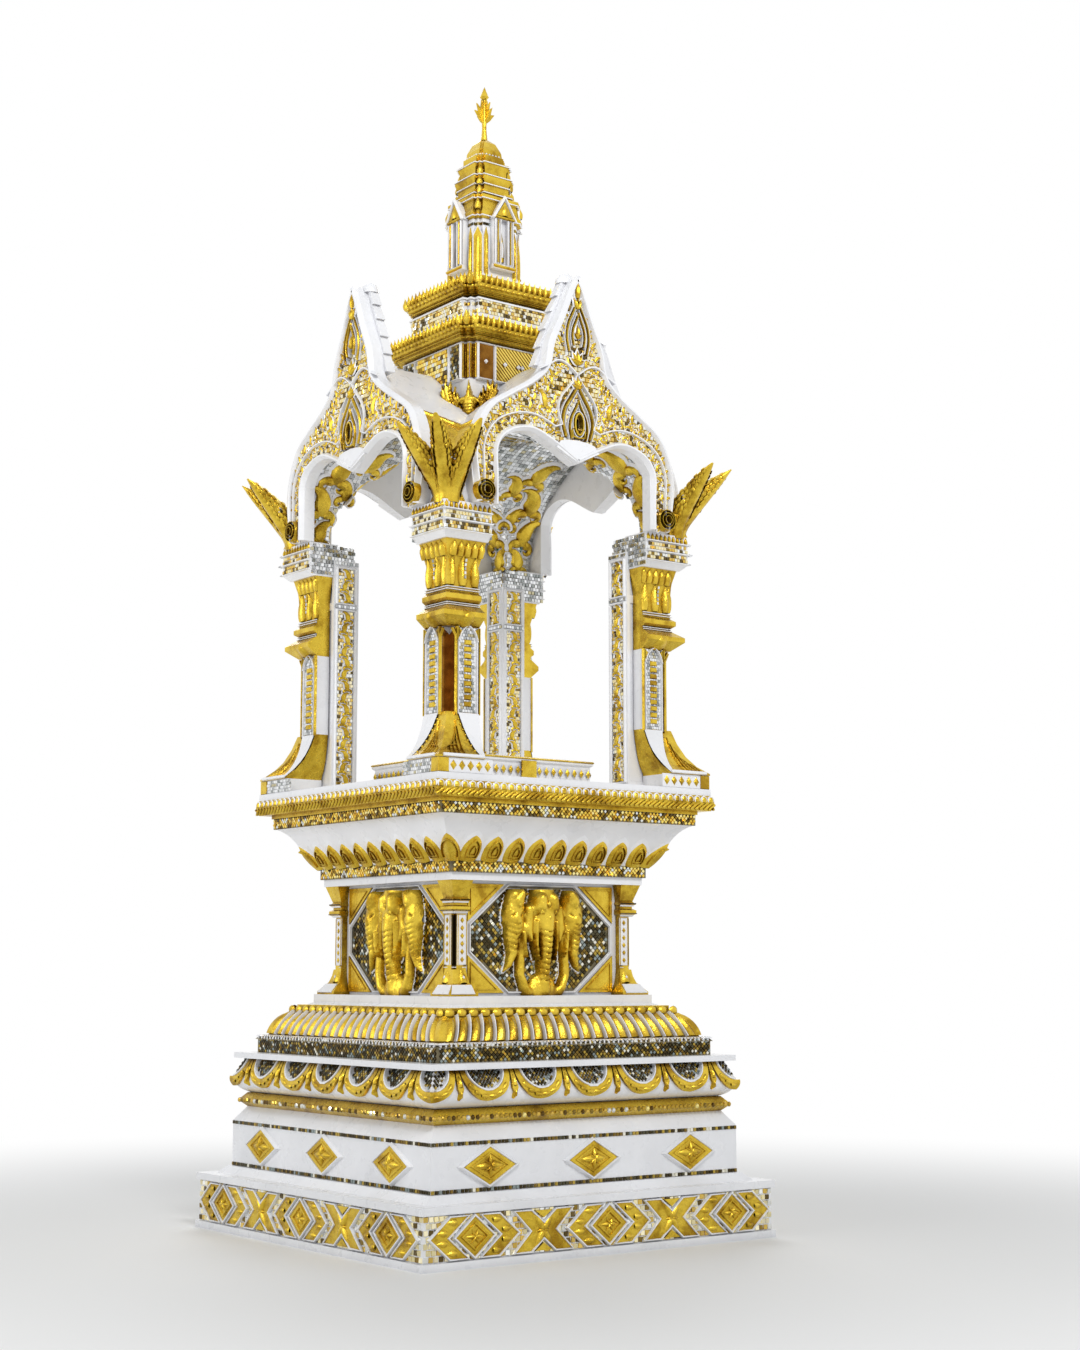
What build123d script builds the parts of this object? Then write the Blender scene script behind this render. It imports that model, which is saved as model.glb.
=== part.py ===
from build123d import *
import os

os.makedirs("parts", exist_ok=True)

# All sizes are in millimetres. Z is up, the origin is at the middle of the foot.

# Plinth with a sunk band of lozenges, chevrons and stars
PLINTH_HALF = 516
PLINTH_HEIGHT = 135
PLINTH_EDGE = 17
PLINTH_RECESS = 8
LOZENGE_PITCH = 375
LOZENGE_HALF = 54
LOZENGE_MARGIN = 5
LOZENGE_RISE = 5
CHEVRON_GAP = 16
CHEVRON_WIDTH = 50
STAR_TOP = 82
STAR_WAIST = 36
STAR_NOTCH = 34

# Block with raised diamonds, and the rod over it
LEDGE_HEIGHT = 18
LEDGE_REACH = 28
LEDGE_LIP = 8
BLOCK_HALF = 450
BLOCK_HEIGHT = 112.5
DIAMOND_COUNT = 3
DIAMOND_PITCH = 295
DIAMOND_WIDTH = 166
DIAMOND_HEIGHT = 98
DIAMOND_RISE = 7
SLOPE_HEIGHT = 34.5
SLOPE_INSET = 26
ROD_HEIGHT = 35
ROD_RIDGE = 18

# Garland moulding with its ledge, mirror band and lotus moulding
GARLAND_HALF = 449
GARLAND_HEIGHT = 86
GARLAND_NECK = 31
GARLAND_BELLY = 26
GARLAND_TOP = 20
SWAG_COUNT = 6
SWAG_HALF = 67
SWAG_FALL = 70
SWAG_HOLLOW_HALF = 53
SWAG_HOLLOW_FALL = 46
SWAG_RISE = 8
DROP_HALF = 8
DROP_FALL = 60
SWAG_LEDGE_HALF = 451
SWAG_LEDGE_HEIGHT = 14
MIRROR_BAND_HALF = 407
MIRROR_BAND_HEIGHT = 43
MIRROR_LEDGE_HEIGHT = 10
MIRROR_LEDGE_LIP = 5
LOTUS_HALF = 388
LOTUS_HEIGHT = 77
LOTUS_NECK = 335
LOTUS_NECK_HEIGHT = 18
LOTUS_NECK_STEP = 17
LOTUS_HOLLOW = 12

# Dado with its eight-sided mirror fields, pilasters and elephants
DADO_SLAB_HALF = 305
DADO_SLAB_HEIGHT = 26
DADO_SLAB_BEVEL = 12
DADO_HALF = 252
DADO_HEIGHT = 271
DADO_FIELD_HALF = 213
DADO_FIELD_RISE = 128
DADO_FIELD_FLAT = 100
DADO_FIELD_SIDE = 32
DADO_FIELD_DEPTH = 6
PILASTER_OUTER = 269
PILASTER_WIDTH = 36
PILASTER_FOOT_FLARE = 30
PILASTER_HEAD_FLARE = 17
PILASTER_RING = 10
PILASTER_NOTCH = 18
PILASTER_NOTCH_FOOT = 62
PILASTER_NOTCH_TOP = 195
ELEPHANT_HALF = 44
ELEPHANT_HEIGHT = 252
SIDE_ELEPHANT_HALF = 37
SIDE_ELEPHANT_HEIGHT = 182
SIDE_ELEPHANT_PLACE = 77
SIDE_ELEPHANT_LIFT = 68
TRUNK_END_RADIUS = 15
TUSK_LENGTH = 52
TUSK_RADIUS = 8
DADO_CAP_HALF = 289
DADO_CAP_HEIGHT = 18

# Petal cornice and deck
LOWER_FRIEZE_HALF = 296
LOWER_FRIEZE_HEIGHT = 28
CORNICE_HALF = 381
CORNICE_HEIGHT = 102
PETAL_COUNT = 9
PETAL_PITCH = 60
PETAL_WIDTH = 53
PETAL_HEIGHT = 58
PETAL_RISE = 6
CORNER_PETAL_HALF = 36
UPPER_FRIEZE_HALF = 385
UPPER_FRIEZE_HEIGHT = 27
DECK_HALF = 413
DECK_HEIGHT = 16
TORUS_PROUD = 6
TORUS_NECK = 24
TORUS_HEIGHT = 47
TORUS_NECK_HEIGHT = 9
PEDESTAL_HALF = 203
PEDESTAL_HEIGHT = 74
PEDESTAL_RECESS = 6

# Hall: inner piers and corner columns
PIER_OUTER = 306
PIER_WIDTH = 74
PIER_HEIGHT = 605
PIER_PANEL_DEPTH = 3
PIER_PANEL_EDGE = 10
PIER_DIVIDER = 0.8
COLUMN_PLATE_OUTER = 408
COLUMN_PLATE_WIDTH = 127
COLUMN_PLATE_HEIGHT = 35
COLUMN_FOOT_OUTER = 412
COLUMN_FOOT_WIDTH = 131
COLUMN_FOOT_HEIGHT = 115
COLUMN_OUTER = 343
COLUMN_WIDTH = 91
COLUMN_SHAFT_HEIGHT = 203
COLUMN_NOTCH = 24
COLUMN_RING_FLARE = 27
COLUMN_RINGS_HEIGHT = 93
CAPITAL_HEIGHT = 114
CAPITAL_NECK = 4
CAPITAL_FLARE = 12
ABACUS_OUTER = 376
ABACUS_WIDTH = 137
ABACUS_HEIGHT = 87
ABACUS_BEVEL = 14
CREST_CENTRE = 346
CREST_BLOCK = 52
CREST_BLOCK_HEIGHT = 24
CREST_REACH = 150
CREST_HEIGHT = 165
CREST_THICKNESS = 32
CREST_TURN = 45

# Vault, gables and crown
VAULT_HALF = 318
VAULT_SHELL = 26
VAULT_HEIGHT = 420
INNER_RISE = 0.72
GABLE_FACE = 396
GABLE_THICKNESS = 30
GABLE_HALF = 312
GABLE_JAMB = 236
GABLE_HEIGHT = 613
FIN_LIP = 12
FIN_DEPTH = 24
CROWN_HALF = 152
GARUDA_RADIUS = 204
GARUDA_HALF = 70
GARUDA_HEIGHT = 108
GARUDA_THICKNESS = 24
GARUDA_DROP = 4

# Roof tower
DRUM_HALF = 160
DRUM_HEIGHT = 99
DRUM_SINK = 38
REDENT = 14
LOWER_EAVE_HALF = 189
LOWER_EAVE_HEIGHT = 62
NECK_HALF = 148
NECK_HEIGHT = 60
UPPER_EAVE_HALF = 157
UPPER_EAVE_HEIGHT = 63
UPPER_EAVE_NECK = 128
EAVE_DEPTH = 16
EAVE_CREST_SHARE = 0.56
CREST_LEAF = 20
CREST_LEAF_THICKNESS = 5
TOWER_HALF = 72
TOWER_FLARE = 14
TOWER_HEIGHT = 250
TOWER_FOOT_HEIGHT = 44
TOWER_NECK_HEIGHT = 34
NICHE_WIDTH = 62
NICHE_DEPTH = 16
NICHE_OPENING = 26
NICHE_STEP = 5
NICHE_FOOT = 48
NICHE_SILL = 12
NICHE_PEDIMENT = 66
NICHE_RECESS = 9
PRANG_HALF = 60
PRANG_HEIGHT = 122
PRANG_REDENT = 9
PRANG_LIP = 10
CAP_HALF = 38
CAP_HEIGHT = 59
CAP_REDENT = 4
FINIAL_RADIUS = 12
FINIAL_HEIGHT = 152
FROND_HALF = 32
FROND_HEIGHT = 70
FROND_FOOT = 44
FROND_THICKNESS = 4

# Levels, each on top of the one before
BLOCK_FOOT = PLINTH_HEIGHT + LEDGE_HEIGHT
BLOCK_TOP = BLOCK_FOOT + BLOCK_HEIGHT
ROD_FOOT = BLOCK_TOP + SLOPE_HEIGHT
GARLAND_FOOT = ROD_FOOT + ROD_HEIGHT
SWAG_TOP = GARLAND_FOOT + GARLAND_HEIGHT
MIRROR_FOOT = SWAG_TOP + SWAG_LEDGE_HEIGHT
LOTUS_FOOT = MIRROR_FOOT + MIRROR_BAND_HEIGHT
DADO_SLAB_FOOT = LOTUS_FOOT + LOTUS_HEIGHT
DADO_FOOT = DADO_SLAB_FOOT + DADO_SLAB_HEIGHT
DADO_TOP = DADO_FOOT + DADO_HEIGHT
LOWER_FRIEZE_FOOT = DADO_TOP + DADO_CAP_HEIGHT
CORNICE_FOOT = LOWER_FRIEZE_FOOT + LOWER_FRIEZE_HEIGHT
UPPER_FRIEZE_FOOT = CORNICE_FOOT + CORNICE_HEIGHT
TORUS_FOOT = UPPER_FRIEZE_FOOT + UPPER_FRIEZE_HEIGHT
DECK_FOOT = TORUS_FOOT + TORUS_HEIGHT
DECK_TOP = DECK_FOOT + DECK_HEIGHT
PIER_TOP = DECK_TOP + PIER_HEIGHT
COLUMN_FOOT = DECK_TOP + COLUMN_PLATE_HEIGHT
SHAFT_FOOT = COLUMN_FOOT + COLUMN_FOOT_HEIGHT
RINGS_FOOT = SHAFT_FOOT + COLUMN_SHAFT_HEIGHT
CAPITAL_FOOT = RINGS_FOOT + COLUMN_RINGS_HEIGHT
ABACUS_FOOT = CAPITAL_FOOT + CAPITAL_HEIGHT
SPRINGING = ABACUS_FOOT + ABACUS_HEIGHT
VAULT_TOP = SPRINGING + VAULT_HEIGHT
DRUM_FOOT = VAULT_TOP - DRUM_SINK
LOWER_EAVE_FOOT = DRUM_FOOT + DRUM_HEIGHT
NECK_FOOT = LOWER_EAVE_FOOT + LOWER_EAVE_HEIGHT
UPPER_EAVE_FOOT = NECK_FOOT + NECK_HEIGHT
TOWER_FOOT = UPPER_EAVE_FOOT + UPPER_EAVE_HEIGHT
PRANG_FOOT = TOWER_FOOT + TOWER_HEIGHT
CAP_FOOT = PRANG_FOOT + PRANG_HEIGHT
FINIAL_FOOT = CAP_FOOT + CAP_HEIGHT

REACH = 2 * PLINTH_HALF
QUARTERS = 4


def edge(half, depth, foot, height, *shape):
    """A moulding's edge from shares of the depth in from its half width and of the height over its foot."""
    return [(half - inset * depth, foot + rise * height) for inset, rise in shape]


def side_view(*corners, inset=0):
    """A closed side view from the (half width, height) corners of its right-hand edge."""
    right = [(half - inset, height) for half, height in corners]
    with BuildSketch() as view:
        with BuildLine():
            Polyline((0, corners[0][1]), *right, (0, corners[-1][1]), close=True)
        make_face()
        mirror(about=Plane.YZ)
    return view.sketch


def crossed(front, side):
    """The mass that shows one view from the front and the other from the side."""
    with BuildPart() as mass:
        with BuildSketch(Plane.XZ):
            add(front)
        extrude(amount=REACH, both=True)
        with BuildSketch(Plane.YZ):
            add(side)
        extrude(amount=REACH, both=True, mode=Mode.INTERSECT)
    return mass.part


def square_course(view):
    """A course of square plan with the same moulding on all four sides."""
    return crossed(view, view)


def redented(corners, step, count):
    """A course of square plan whose corners step back count times."""
    with BuildPart() as course:
        for i in range(count + 1):
            front = side_view(*corners, inset=i * step)
            side = side_view(*corners, inset=(count - i) * step)
            add(crossed(front, side))
    return course.part


def front_quarter(top):
    """The wedge of space between the two diagonals at the front, up to the height given."""
    with BuildPart() as wedge:
        with BuildSketch():
            Polygon((0, 0), (-REACH, -REACH), (REACH, -REACH))
        extrude(amount=top)
    return wedge.part


def all_sides(piece):
    """The front piece repeated on the four sides."""
    with BuildPart() as sides:
        with PolarLocations(0, QUARTERS):
            add(piece)
    return sides.part


def relief(outlines, view, rise):
    """What stands out of a square moulding by the rise, inside outlines drawn on its front view."""
    with BuildPart() as front:
        with BuildSketch(Plane.XZ):
            add(outlines)
        extrude(amount=REACH)
        add(square_course(view(rise)), mode=Mode.INTERSECT)
        add(square_course(view()), mode=Mode.SUBTRACT)
        add(front_quarter(VAULT_TOP), mode=Mode.INTERSECT)
    return all_sides(front.part)


def petal(width, height):
    """A mango-shaped petal that stands on its foot."""
    with BuildSketch() as shape:
        with BuildLine():
            Line((0, 0), (0.38 * width, 0))
            ThreePointArc((0.38 * width, 0), (0.5 * width, 0.42 * height), (0.33 * width, 0.8 * height))
            Polyline((0.33 * width, 0.8 * height), (0, height), (0, 0))
        make_face()
        mirror(about=Plane.YZ)
    return shape.sketch


# Plinth: a slab with a sunk band between two edges
band_half = PLINTH_HALF - PLINTH_RECESS
band_top = PLINTH_HEIGHT - PLINTH_EDGE
with BuildPart() as base_plinth:
    add(square_course(side_view(
        (PLINTH_HALF, 0), (PLINTH_HALF, PLINTH_EDGE), (band_half, PLINTH_EDGE), (band_half, band_top),
        (PLINTH_HALF, band_top), (PLINTH_HALF, PLINTH_HEIGHT))))
base_plinth.part.label = "base_plinth"
export_step(base_plinth.part, "parts/base_plinth.step")

# Lozenges in the band, each between two chevrons, with a star between one set and the next
lozenge_top = (band_top - PLINTH_EDGE) / 2 - LOZENGE_MARGIN
chevron_in = CHEVRON_GAP
chevron_out = CHEVRON_GAP + CHEVRON_WIDTH
with BuildPart() as lozenge_row:
    with BuildSketch(Plane.XZ.offset(band_half)):
        with Locations((0, PLINTH_HEIGHT / 2)):
            with GridLocations(LOZENGE_PITCH, 0, 3, 1):
                Polygon((-LOZENGE_HALF, 0), (0, -lozenge_top), (LOZENGE_HALF, 0), (0, lozenge_top))
                for way in (-1, 1):
                    Polygon((way * chevron_in, lozenge_top), (way * (LOZENGE_HALF + chevron_in), 0),
                            (way * chevron_in, -lozenge_top), (way * chevron_out, -lozenge_top),
                            (way * (LOZENGE_HALF + chevron_out), 0), (way * chevron_out, lozenge_top))
            with GridLocations(LOZENGE_PITCH, 0, 2, 1):
                Polygon((-STAR_WAIST, 0), (-STAR_TOP, -lozenge_top), (-STAR_NOTCH, -lozenge_top),
                        (0, -STAR_NOTCH / 2), (STAR_NOTCH, -lozenge_top), (STAR_TOP, -lozenge_top),
                        (STAR_WAIST, 0), (STAR_TOP, lozenge_top), (STAR_NOTCH, lozenge_top),
                        (0, STAR_NOTCH / 2), (-STAR_NOTCH, lozenge_top), (-STAR_TOP, lozenge_top))
    extrude(amount=LOZENGE_RISE)
with BuildPart() as plinth_lozenges:
    add(all_sides(lozenge_row.part))
plinth_lozenges.part.label = "plinth_lozenges"
export_step(plinth_lozenges.part, "parts/plinth_lozenges.step")

# Block: a sloping ledge, an upright face and a slope in to the rod
slope_half = BLOCK_HALF - SLOPE_INSET
with BuildPart() as base_block:
    add(square_course(side_view(
        (BLOCK_HALF + LEDGE_REACH, PLINTH_HEIGHT), (BLOCK_HALF + LEDGE_LIP, BLOCK_FOOT),
        (BLOCK_HALF, BLOCK_FOOT), (BLOCK_HALF, BLOCK_TOP), (slope_half, ROD_FOOT))))
base_block.part.label = "base_block"
export_step(base_block.part, "parts/base_block.step")

# Raised diamonds with bevelled edges on the block
with BuildPart() as diamond_row:
    with BuildSketch(Plane.XZ.offset(BLOCK_HALF)):
        with Locations((0, BLOCK_FOOT + BLOCK_HEIGHT / 2)):
            with GridLocations(DIAMOND_PITCH, 0, DIAMOND_COUNT, 1):
                Polygon((-DIAMOND_WIDTH / 2, 0), (0, -DIAMOND_HEIGHT / 2),
                        (DIAMOND_WIDTH / 2, 0), (0, DIAMOND_HEIGHT / 2))
    extrude(amount=DIAMOND_RISE, taper=45)
with BuildPart() as block_diamonds:
    add(all_sides(diamond_row.part))
block_diamonds.part.label = "block_diamonds"
export_step(block_diamonds.part, "parts/block_diamonds.step")

# Rod: a square moulding with a sharp ridge
with BuildPart() as rod_moulding:
    add(square_course(side_view(*edge(
        slope_half, -ROD_RIDGE, ROD_FOOT, ROD_HEIGHT, (0, 0), (1, 0.45), (0, 1)))))
rod_moulding.part.label = "rod_moulding"
export_step(rod_moulding.part, "parts/rod_moulding.step")


# Garland moulding: a swelling cyma under a square ledge
def garland_view(rise=0):
    """Side view of the cyma that carries the garlands, swollen by the rise."""
    half = GARLAND_HALF + rise
    with BuildSketch() as view:
        with BuildLine():
            Spline((half - GARLAND_NECK, GARLAND_FOOT), (half, GARLAND_FOOT + GARLAND_BELLY),
                   (half - GARLAND_TOP, SWAG_TOP), tangents=((1, 0.3), (-0.5, 1)))
            Polyline((half - GARLAND_TOP, SWAG_TOP), (0, SWAG_TOP), (0, GARLAND_FOOT),
                     (half - GARLAND_NECK, GARLAND_FOOT))
        make_face()
        mirror(about=Plane.YZ)
    return view.sketch


with BuildPart() as garland_moulding:
    add(square_course(garland_view()))
    add(square_course(side_view((SWAG_LEDGE_HALF, SWAG_TOP), (SWAG_LEDGE_HALF, MIRROR_FOOT))))
garland_moulding.part.label = "garland_moulding"
export_step(garland_moulding.part, "parts/garland_moulding.step")

# Garlands: crescents that hang from the ledge, one on each corner, and pointed drops between them
swag_pitch = 2 * GARLAND_HALF / SWAG_COUNT
with BuildSketch() as swags:
    with Locations((0, SWAG_TOP)):
        with GridLocations(swag_pitch, 0, SWAG_COUNT + 1, 1):
            Ellipse(SWAG_HALF, SWAG_FALL)
        with GridLocations(swag_pitch, 0, SWAG_COUNT + 1, 1):
            Ellipse(SWAG_HOLLOW_HALF, SWAG_HOLLOW_FALL, mode=Mode.SUBTRACT)
        with GridLocations(swag_pitch, 0, SWAG_COUNT, 1):
            Polygon((-DROP_HALF / 2, 0), (-DROP_HALF, -0.7 * DROP_FALL), (0, -DROP_FALL),
                    (DROP_HALF, -0.7 * DROP_FALL), (DROP_HALF / 2, 0))
with BuildPart() as garlands:
    add(relief(swags.sketch, garland_view, SWAG_RISE))
garlands.part.label = "garlands"
export_step(garlands.part, "parts/garlands.step")

# Mirror band under a thin bevelled ledge
with BuildPart() as lower_mirror_band:
    add(square_course(side_view(
        (MIRROR_BAND_HALF, MIRROR_FOOT), (MIRROR_BAND_HALF, LOTUS_FOOT - MIRROR_LEDGE_HEIGHT),
        (MIRROR_BAND_HALF + MIRROR_LEDGE_LIP, LOTUS_FOOT - MIRROR_LEDGE_HEIGHT),
        (MIRROR_BAND_HALF - MIRROR_LEDGE_LIP, LOTUS_FOOT))))
lower_mirror_band.part.label = "lower_mirror_band"
export_step(lower_mirror_band.part, "parts/lower_mirror_band.step")

# Lotus moulding: a hollow curve in to a narrow band
lotus_top = DADO_SLAB_FOOT - LOTUS_NECK_HEIGHT
with BuildSketch() as lotus_view:
    with BuildLine():
        ThreePointArc((LOTUS_HALF, LOTUS_FOOT), (LOTUS_HALF - LOTUS_HOLLOW, (LOTUS_FOOT + lotus_top) / 2),
                      (LOTUS_NECK + LOTUS_NECK_STEP, lotus_top))
        Polyline((LOTUS_NECK + LOTUS_NECK_STEP, lotus_top), (LOTUS_NECK, lotus_top),
                 (LOTUS_NECK, DADO_SLAB_FOOT), (0, DADO_SLAB_FOOT), (0, LOTUS_FOOT), (LOTUS_HALF, LOTUS_FOOT))
    make_face()
    mirror(about=Plane.YZ)
with BuildPart() as lotus_moulding:
    add(square_course(lotus_view.sketch))
lotus_moulding.part.label = "lotus_moulding"
export_step(lotus_moulding.part, "parts/lotus_moulding.step")

# Slab under the dado
with BuildPart() as dado_slab:
    add(square_course(side_view(*edge(
        DADO_SLAB_HALF, -DADO_SLAB_BEVEL, DADO_SLAB_FOOT, DADO_SLAB_HEIGHT, (1, 0), (0, 0.25), (0, 1)))))
dado_slab.part.label = "dado_slab"
export_step(dado_slab.part, "parts/dado_slab.step")

# Dado: a plain body with a sunk field in the middle of each side, and a mirror plate in the field
dado_middle = DADO_FOOT + DADO_HEIGHT / 2
with BuildSketch() as dado_field:
    with Locations((0, dado_middle)):
        Polygon((-DADO_FIELD_HALF, -DADO_FIELD_SIDE), (-DADO_FIELD_FLAT, -DADO_FIELD_RISE),
                (DADO_FIELD_FLAT, -DADO_FIELD_RISE), (DADO_FIELD_HALF, -DADO_FIELD_SIDE),
                (DADO_FIELD_HALF, DADO_FIELD_SIDE), (DADO_FIELD_FLAT, DADO_FIELD_RISE),
                (-DADO_FIELD_FLAT, DADO_FIELD_RISE), (-DADO_FIELD_HALF, DADO_FIELD_SIDE))
with BuildPart() as field_space:
    with BuildSketch(Plane.XZ.offset(DADO_HALF - DADO_FIELD_DEPTH)):
        add(dado_field.sketch)
    extrude(amount=DADO_FIELD_DEPTH)
with BuildPart() as dado_body:
    add(square_course(side_view((DADO_HALF, DADO_FOOT), (DADO_HALF, DADO_TOP))))
    add(all_sides(field_space.part), mode=Mode.SUBTRACT)
dado_body.part.label = "dado_body"
export_step(dado_body.part, "parts/dado_body.step")

with BuildPart() as dado_mirror:
    with BuildSketch(Plane.XZ.offset(DADO_HALF - DADO_FIELD_DEPTH)):
        add(dado_field.sketch)
    extrude(amount=DADO_FIELD_DEPTH / 2)
with BuildPart() as dado_mirrors:
    add(all_sides(dado_mirror.part))
dado_mirrors.part.label = "dado_mirrors"
export_step(dado_mirrors.part, "parts/dado_mirrors.step")


def corner_course(outer, inner, core):
    """Four masses at the corners, from the (half width, height) points of both edges, cut back to the core."""
    with BuildSketch() as view:
        with BuildLine():
            Polyline(*outer, *reversed(inner), close=True)
        make_face()
    with BuildPart() as corners:
        add(all_sides(crossed(view.sketch, view.sketch)))
        add(core, mode=Mode.SUBTRACT)
    return corners.part


def flared(outer, flare, foot, height, *shape):
    """A flaring edge from shares of the flare out from its line and of the height over its foot."""
    return edge(outer, -flare, foot, height, *shape)


# Corner pilasters: flared foot, square shaft with a notched corner, ringed head
foot_flare = PILASTER_FOOT_FLARE / PILASTER_RING
head_flare = PILASTER_HEAD_FLARE / PILASTER_RING
pilaster_shape = ((foot_flare, 0), (foot_flare, 0.026), (0.9, 0.11), (0.3, 0.17), (0, 0.23), (0, 0.72),
                  (1, 0.735), (1, 0.77), (0.2, 0.785), (0.2, 0.81), (1, 0.825), (0.3, 0.85), (head_flare, 1))
pilaster_inner = PILASTER_OUTER - PILASTER_WIDTH
with BuildPart() as dado_pilasters:
    add(corner_course(flared(PILASTER_OUTER, PILASTER_RING, DADO_FOOT, DADO_HEIGHT, *pilaster_shape),
                      flared(pilaster_inner, -PILASTER_RING / 2, DADO_FOOT, DADO_HEIGHT, *pilaster_shape),
                      dado_body.part))
    with BuildSketch(Plane.XY.offset(DADO_FOOT + PILASTER_NOTCH_FOOT)):
        with GridLocations(2 * PILASTER_OUTER, 2 * PILASTER_OUTER, 2, 2):
            Rectangle(PILASTER_NOTCH, PILASTER_NOTCH)
    extrude(amount=PILASTER_NOTCH_TOP - PILASTER_NOTCH_FOOT, mode=Mode.SUBTRACT)
dado_pilasters.part.label = "dado_pilasters"
export_step(dado_pilasters.part, "parts/dado_pilasters.step")

# Elephants: a broad head with a straight trunk between two smaller ones whose trunks curl in to its foot
mirror_face = DADO_HALF - DADO_FIELD_DEPTH / 2
elephant_shape = ((0.95, 0.9), (1, 0.8), (0.84, 0.66), (0.62, 0.52), (0.5, 0.3), (0.5, 0.12), (0.6, 0))


def elephant(half, height):
    """A turned head on its trunk, standing on the tip of the trunk."""
    with BuildPart() as figure:
        with BuildSketch(Plane.XZ):
            with BuildLine():
                right = [(share * half, rise * height) for share, rise in elephant_shape]
                Spline((0, height), *right, tangents=((1, 0), (0, -1)))
                Polyline(right[-1], (0, 0), (0, height))
            make_face()
        revolve(axis=Axis.Z)
    return figure.part


trunk_top = SIDE_ELEPHANT_LIFT + 0.1 * SIDE_ELEPHANT_HEIGHT
with BuildPart() as side_elephant:
    with Locations((SIDE_ELEPHANT_PLACE, 0, SIDE_ELEPHANT_LIFT)):
        add(elephant(SIDE_ELEPHANT_HALF, SIDE_ELEPHANT_HEIGHT))
    with BuildLine() as trunk_path:
        ThreePointArc((SIDE_ELEPHANT_PLACE, 0, trunk_top), (0.94 * SIDE_ELEPHANT_PLACE, 0, 0.5 * trunk_top),
                      (0.5 * SIDE_ELEPHANT_PLACE, 0, 1.1 * TRUNK_END_RADIUS))
    with BuildSketch(Plane(trunk_path.line @ 0, z_dir=trunk_path.line % 0)):
        Circle(TRUNK_END_RADIUS)
    sweep(path=trunk_path.line)
    with Locations(Location((SIDE_ELEPHANT_PLACE + TUSK_RADIUS, 0, trunk_top), (0, 125, 0))):
        Cone(TUSK_RADIUS, TUSK_RADIUS / 4, TUSK_LENGTH, align=(Align.CENTER, Align.CENTER, Align.MIN))
with BuildPart() as elephant_group:
    with Locations((0, -mirror_face, DADO_FOOT)):
        add(elephant(ELEPHANT_HALF, ELEPHANT_HEIGHT))
        add(side_elephant.part)
        add(mirror(side_elephant.part, about=Plane.YZ, mode=Mode.PRIVATE))
    with Locations((0, -mirror_face, DADO_FOOT)):
        Box(REACH, REACH, REACH, align=(Align.CENTER, Align.MIN, Align.CENTER), mode=Mode.SUBTRACT)
    add(dado_body.part, mode=Mode.SUBTRACT)
with BuildPart() as elephants:
    add(all_sides(elephant_group.part))
elephants.part.label = "elephants"
export_step(elephants.part, "parts/elephants.step")

# White cap over the dado
with BuildPart() as dado_cap:
    add(square_course(side_view((DADO_CAP_HALF, DADO_TOP), (DADO_CAP_HALF, LOWER_FRIEZE_FOOT))))
dado_cap.part.label = "dado_cap"
export_step(dado_cap.part, "parts/dado_cap.step")

# Mirror friezes: one on the cap and one over the cornice
with BuildPart() as mirror_friezes:
    add(square_course(side_view((LOWER_FRIEZE_HALF, LOWER_FRIEZE_FOOT), (LOWER_FRIEZE_HALF, CORNICE_FOOT))))
    add(square_course(side_view((UPPER_FRIEZE_HALF, UPPER_FRIEZE_FOOT), (UPPER_FRIEZE_HALF, TORUS_FOOT))))
mirror_friezes.part.label = "mirror_friezes"
export_step(mirror_friezes.part, "parts/mirror_friezes.step")

# Cornice: a cyma that flares out under the upper frieze
cornice_shape = ((1, 0), (0.54, 0.54), (0, 1))


def cornice_view(rise=0):
    """Side view of the flaring cornice, swollen by the rise."""
    curve = edge(CORNICE_HALF + rise, CORNICE_HALF - LOWER_FRIEZE_HALF, CORNICE_FOOT, CORNICE_HEIGHT,
                 *cornice_shape)
    with BuildSketch() as view:
        with BuildLine():
            Spline(*curve, tangents=((0.8, 1), (1, 0.35)))
            Polyline(curve[-1], (0, UPPER_FRIEZE_FOOT), (0, CORNICE_FOOT), curve[0])
        make_face()
        mirror(about=Plane.YZ)
    return view.sketch


with BuildPart() as petal_cornice:
    add(square_course(cornice_view()))
petal_cornice.part.label = "petal_cornice"
export_step(petal_cornice.part, "parts/petal_cornice.step")

# Petals stand on the frieze, with a broad one folded round each corner
petal_lean = PETAL_HEIGHT * (CORNICE_HALF - LOWER_FRIEZE_HALF) / CORNICE_HEIGHT
corner_foot = LOWER_FRIEZE_HALF - 0.7 * CORNER_PETAL_HALF
corner_middle = LOWER_FRIEZE_HALF + petal_lean / 2 - CORNER_PETAL_HALF
with BuildSketch() as petals:
    with Locations((0, CORNICE_FOOT)):
        with GridLocations(PETAL_PITCH, 0, PETAL_COUNT, 1):
            add(petal(PETAL_WIDTH, PETAL_HEIGHT))
        with BuildLine():
            ThreePointArc((corner_foot, 0), (corner_middle, PETAL_HEIGHT / 2),
                          (LOWER_FRIEZE_HALF + petal_lean, 1.1 * PETAL_HEIGHT))
            Polyline((LOWER_FRIEZE_HALF + petal_lean, 1.1 * PETAL_HEIGHT), (CORNICE_HALF, 1.1 * PETAL_HEIGHT),
                     (CORNICE_HALF, 0), (corner_foot, 0))
        corner_petal = make_face()
        mirror(corner_petal, about=Plane.YZ)
with BuildPart() as cornice_petals:
    add(relief(petals.sketch, cornice_view, PETAL_RISE))
cornice_petals.part.label = "cornice_petals"
export_step(cornice_petals.part, "parts/cornice_petals.step")

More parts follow.
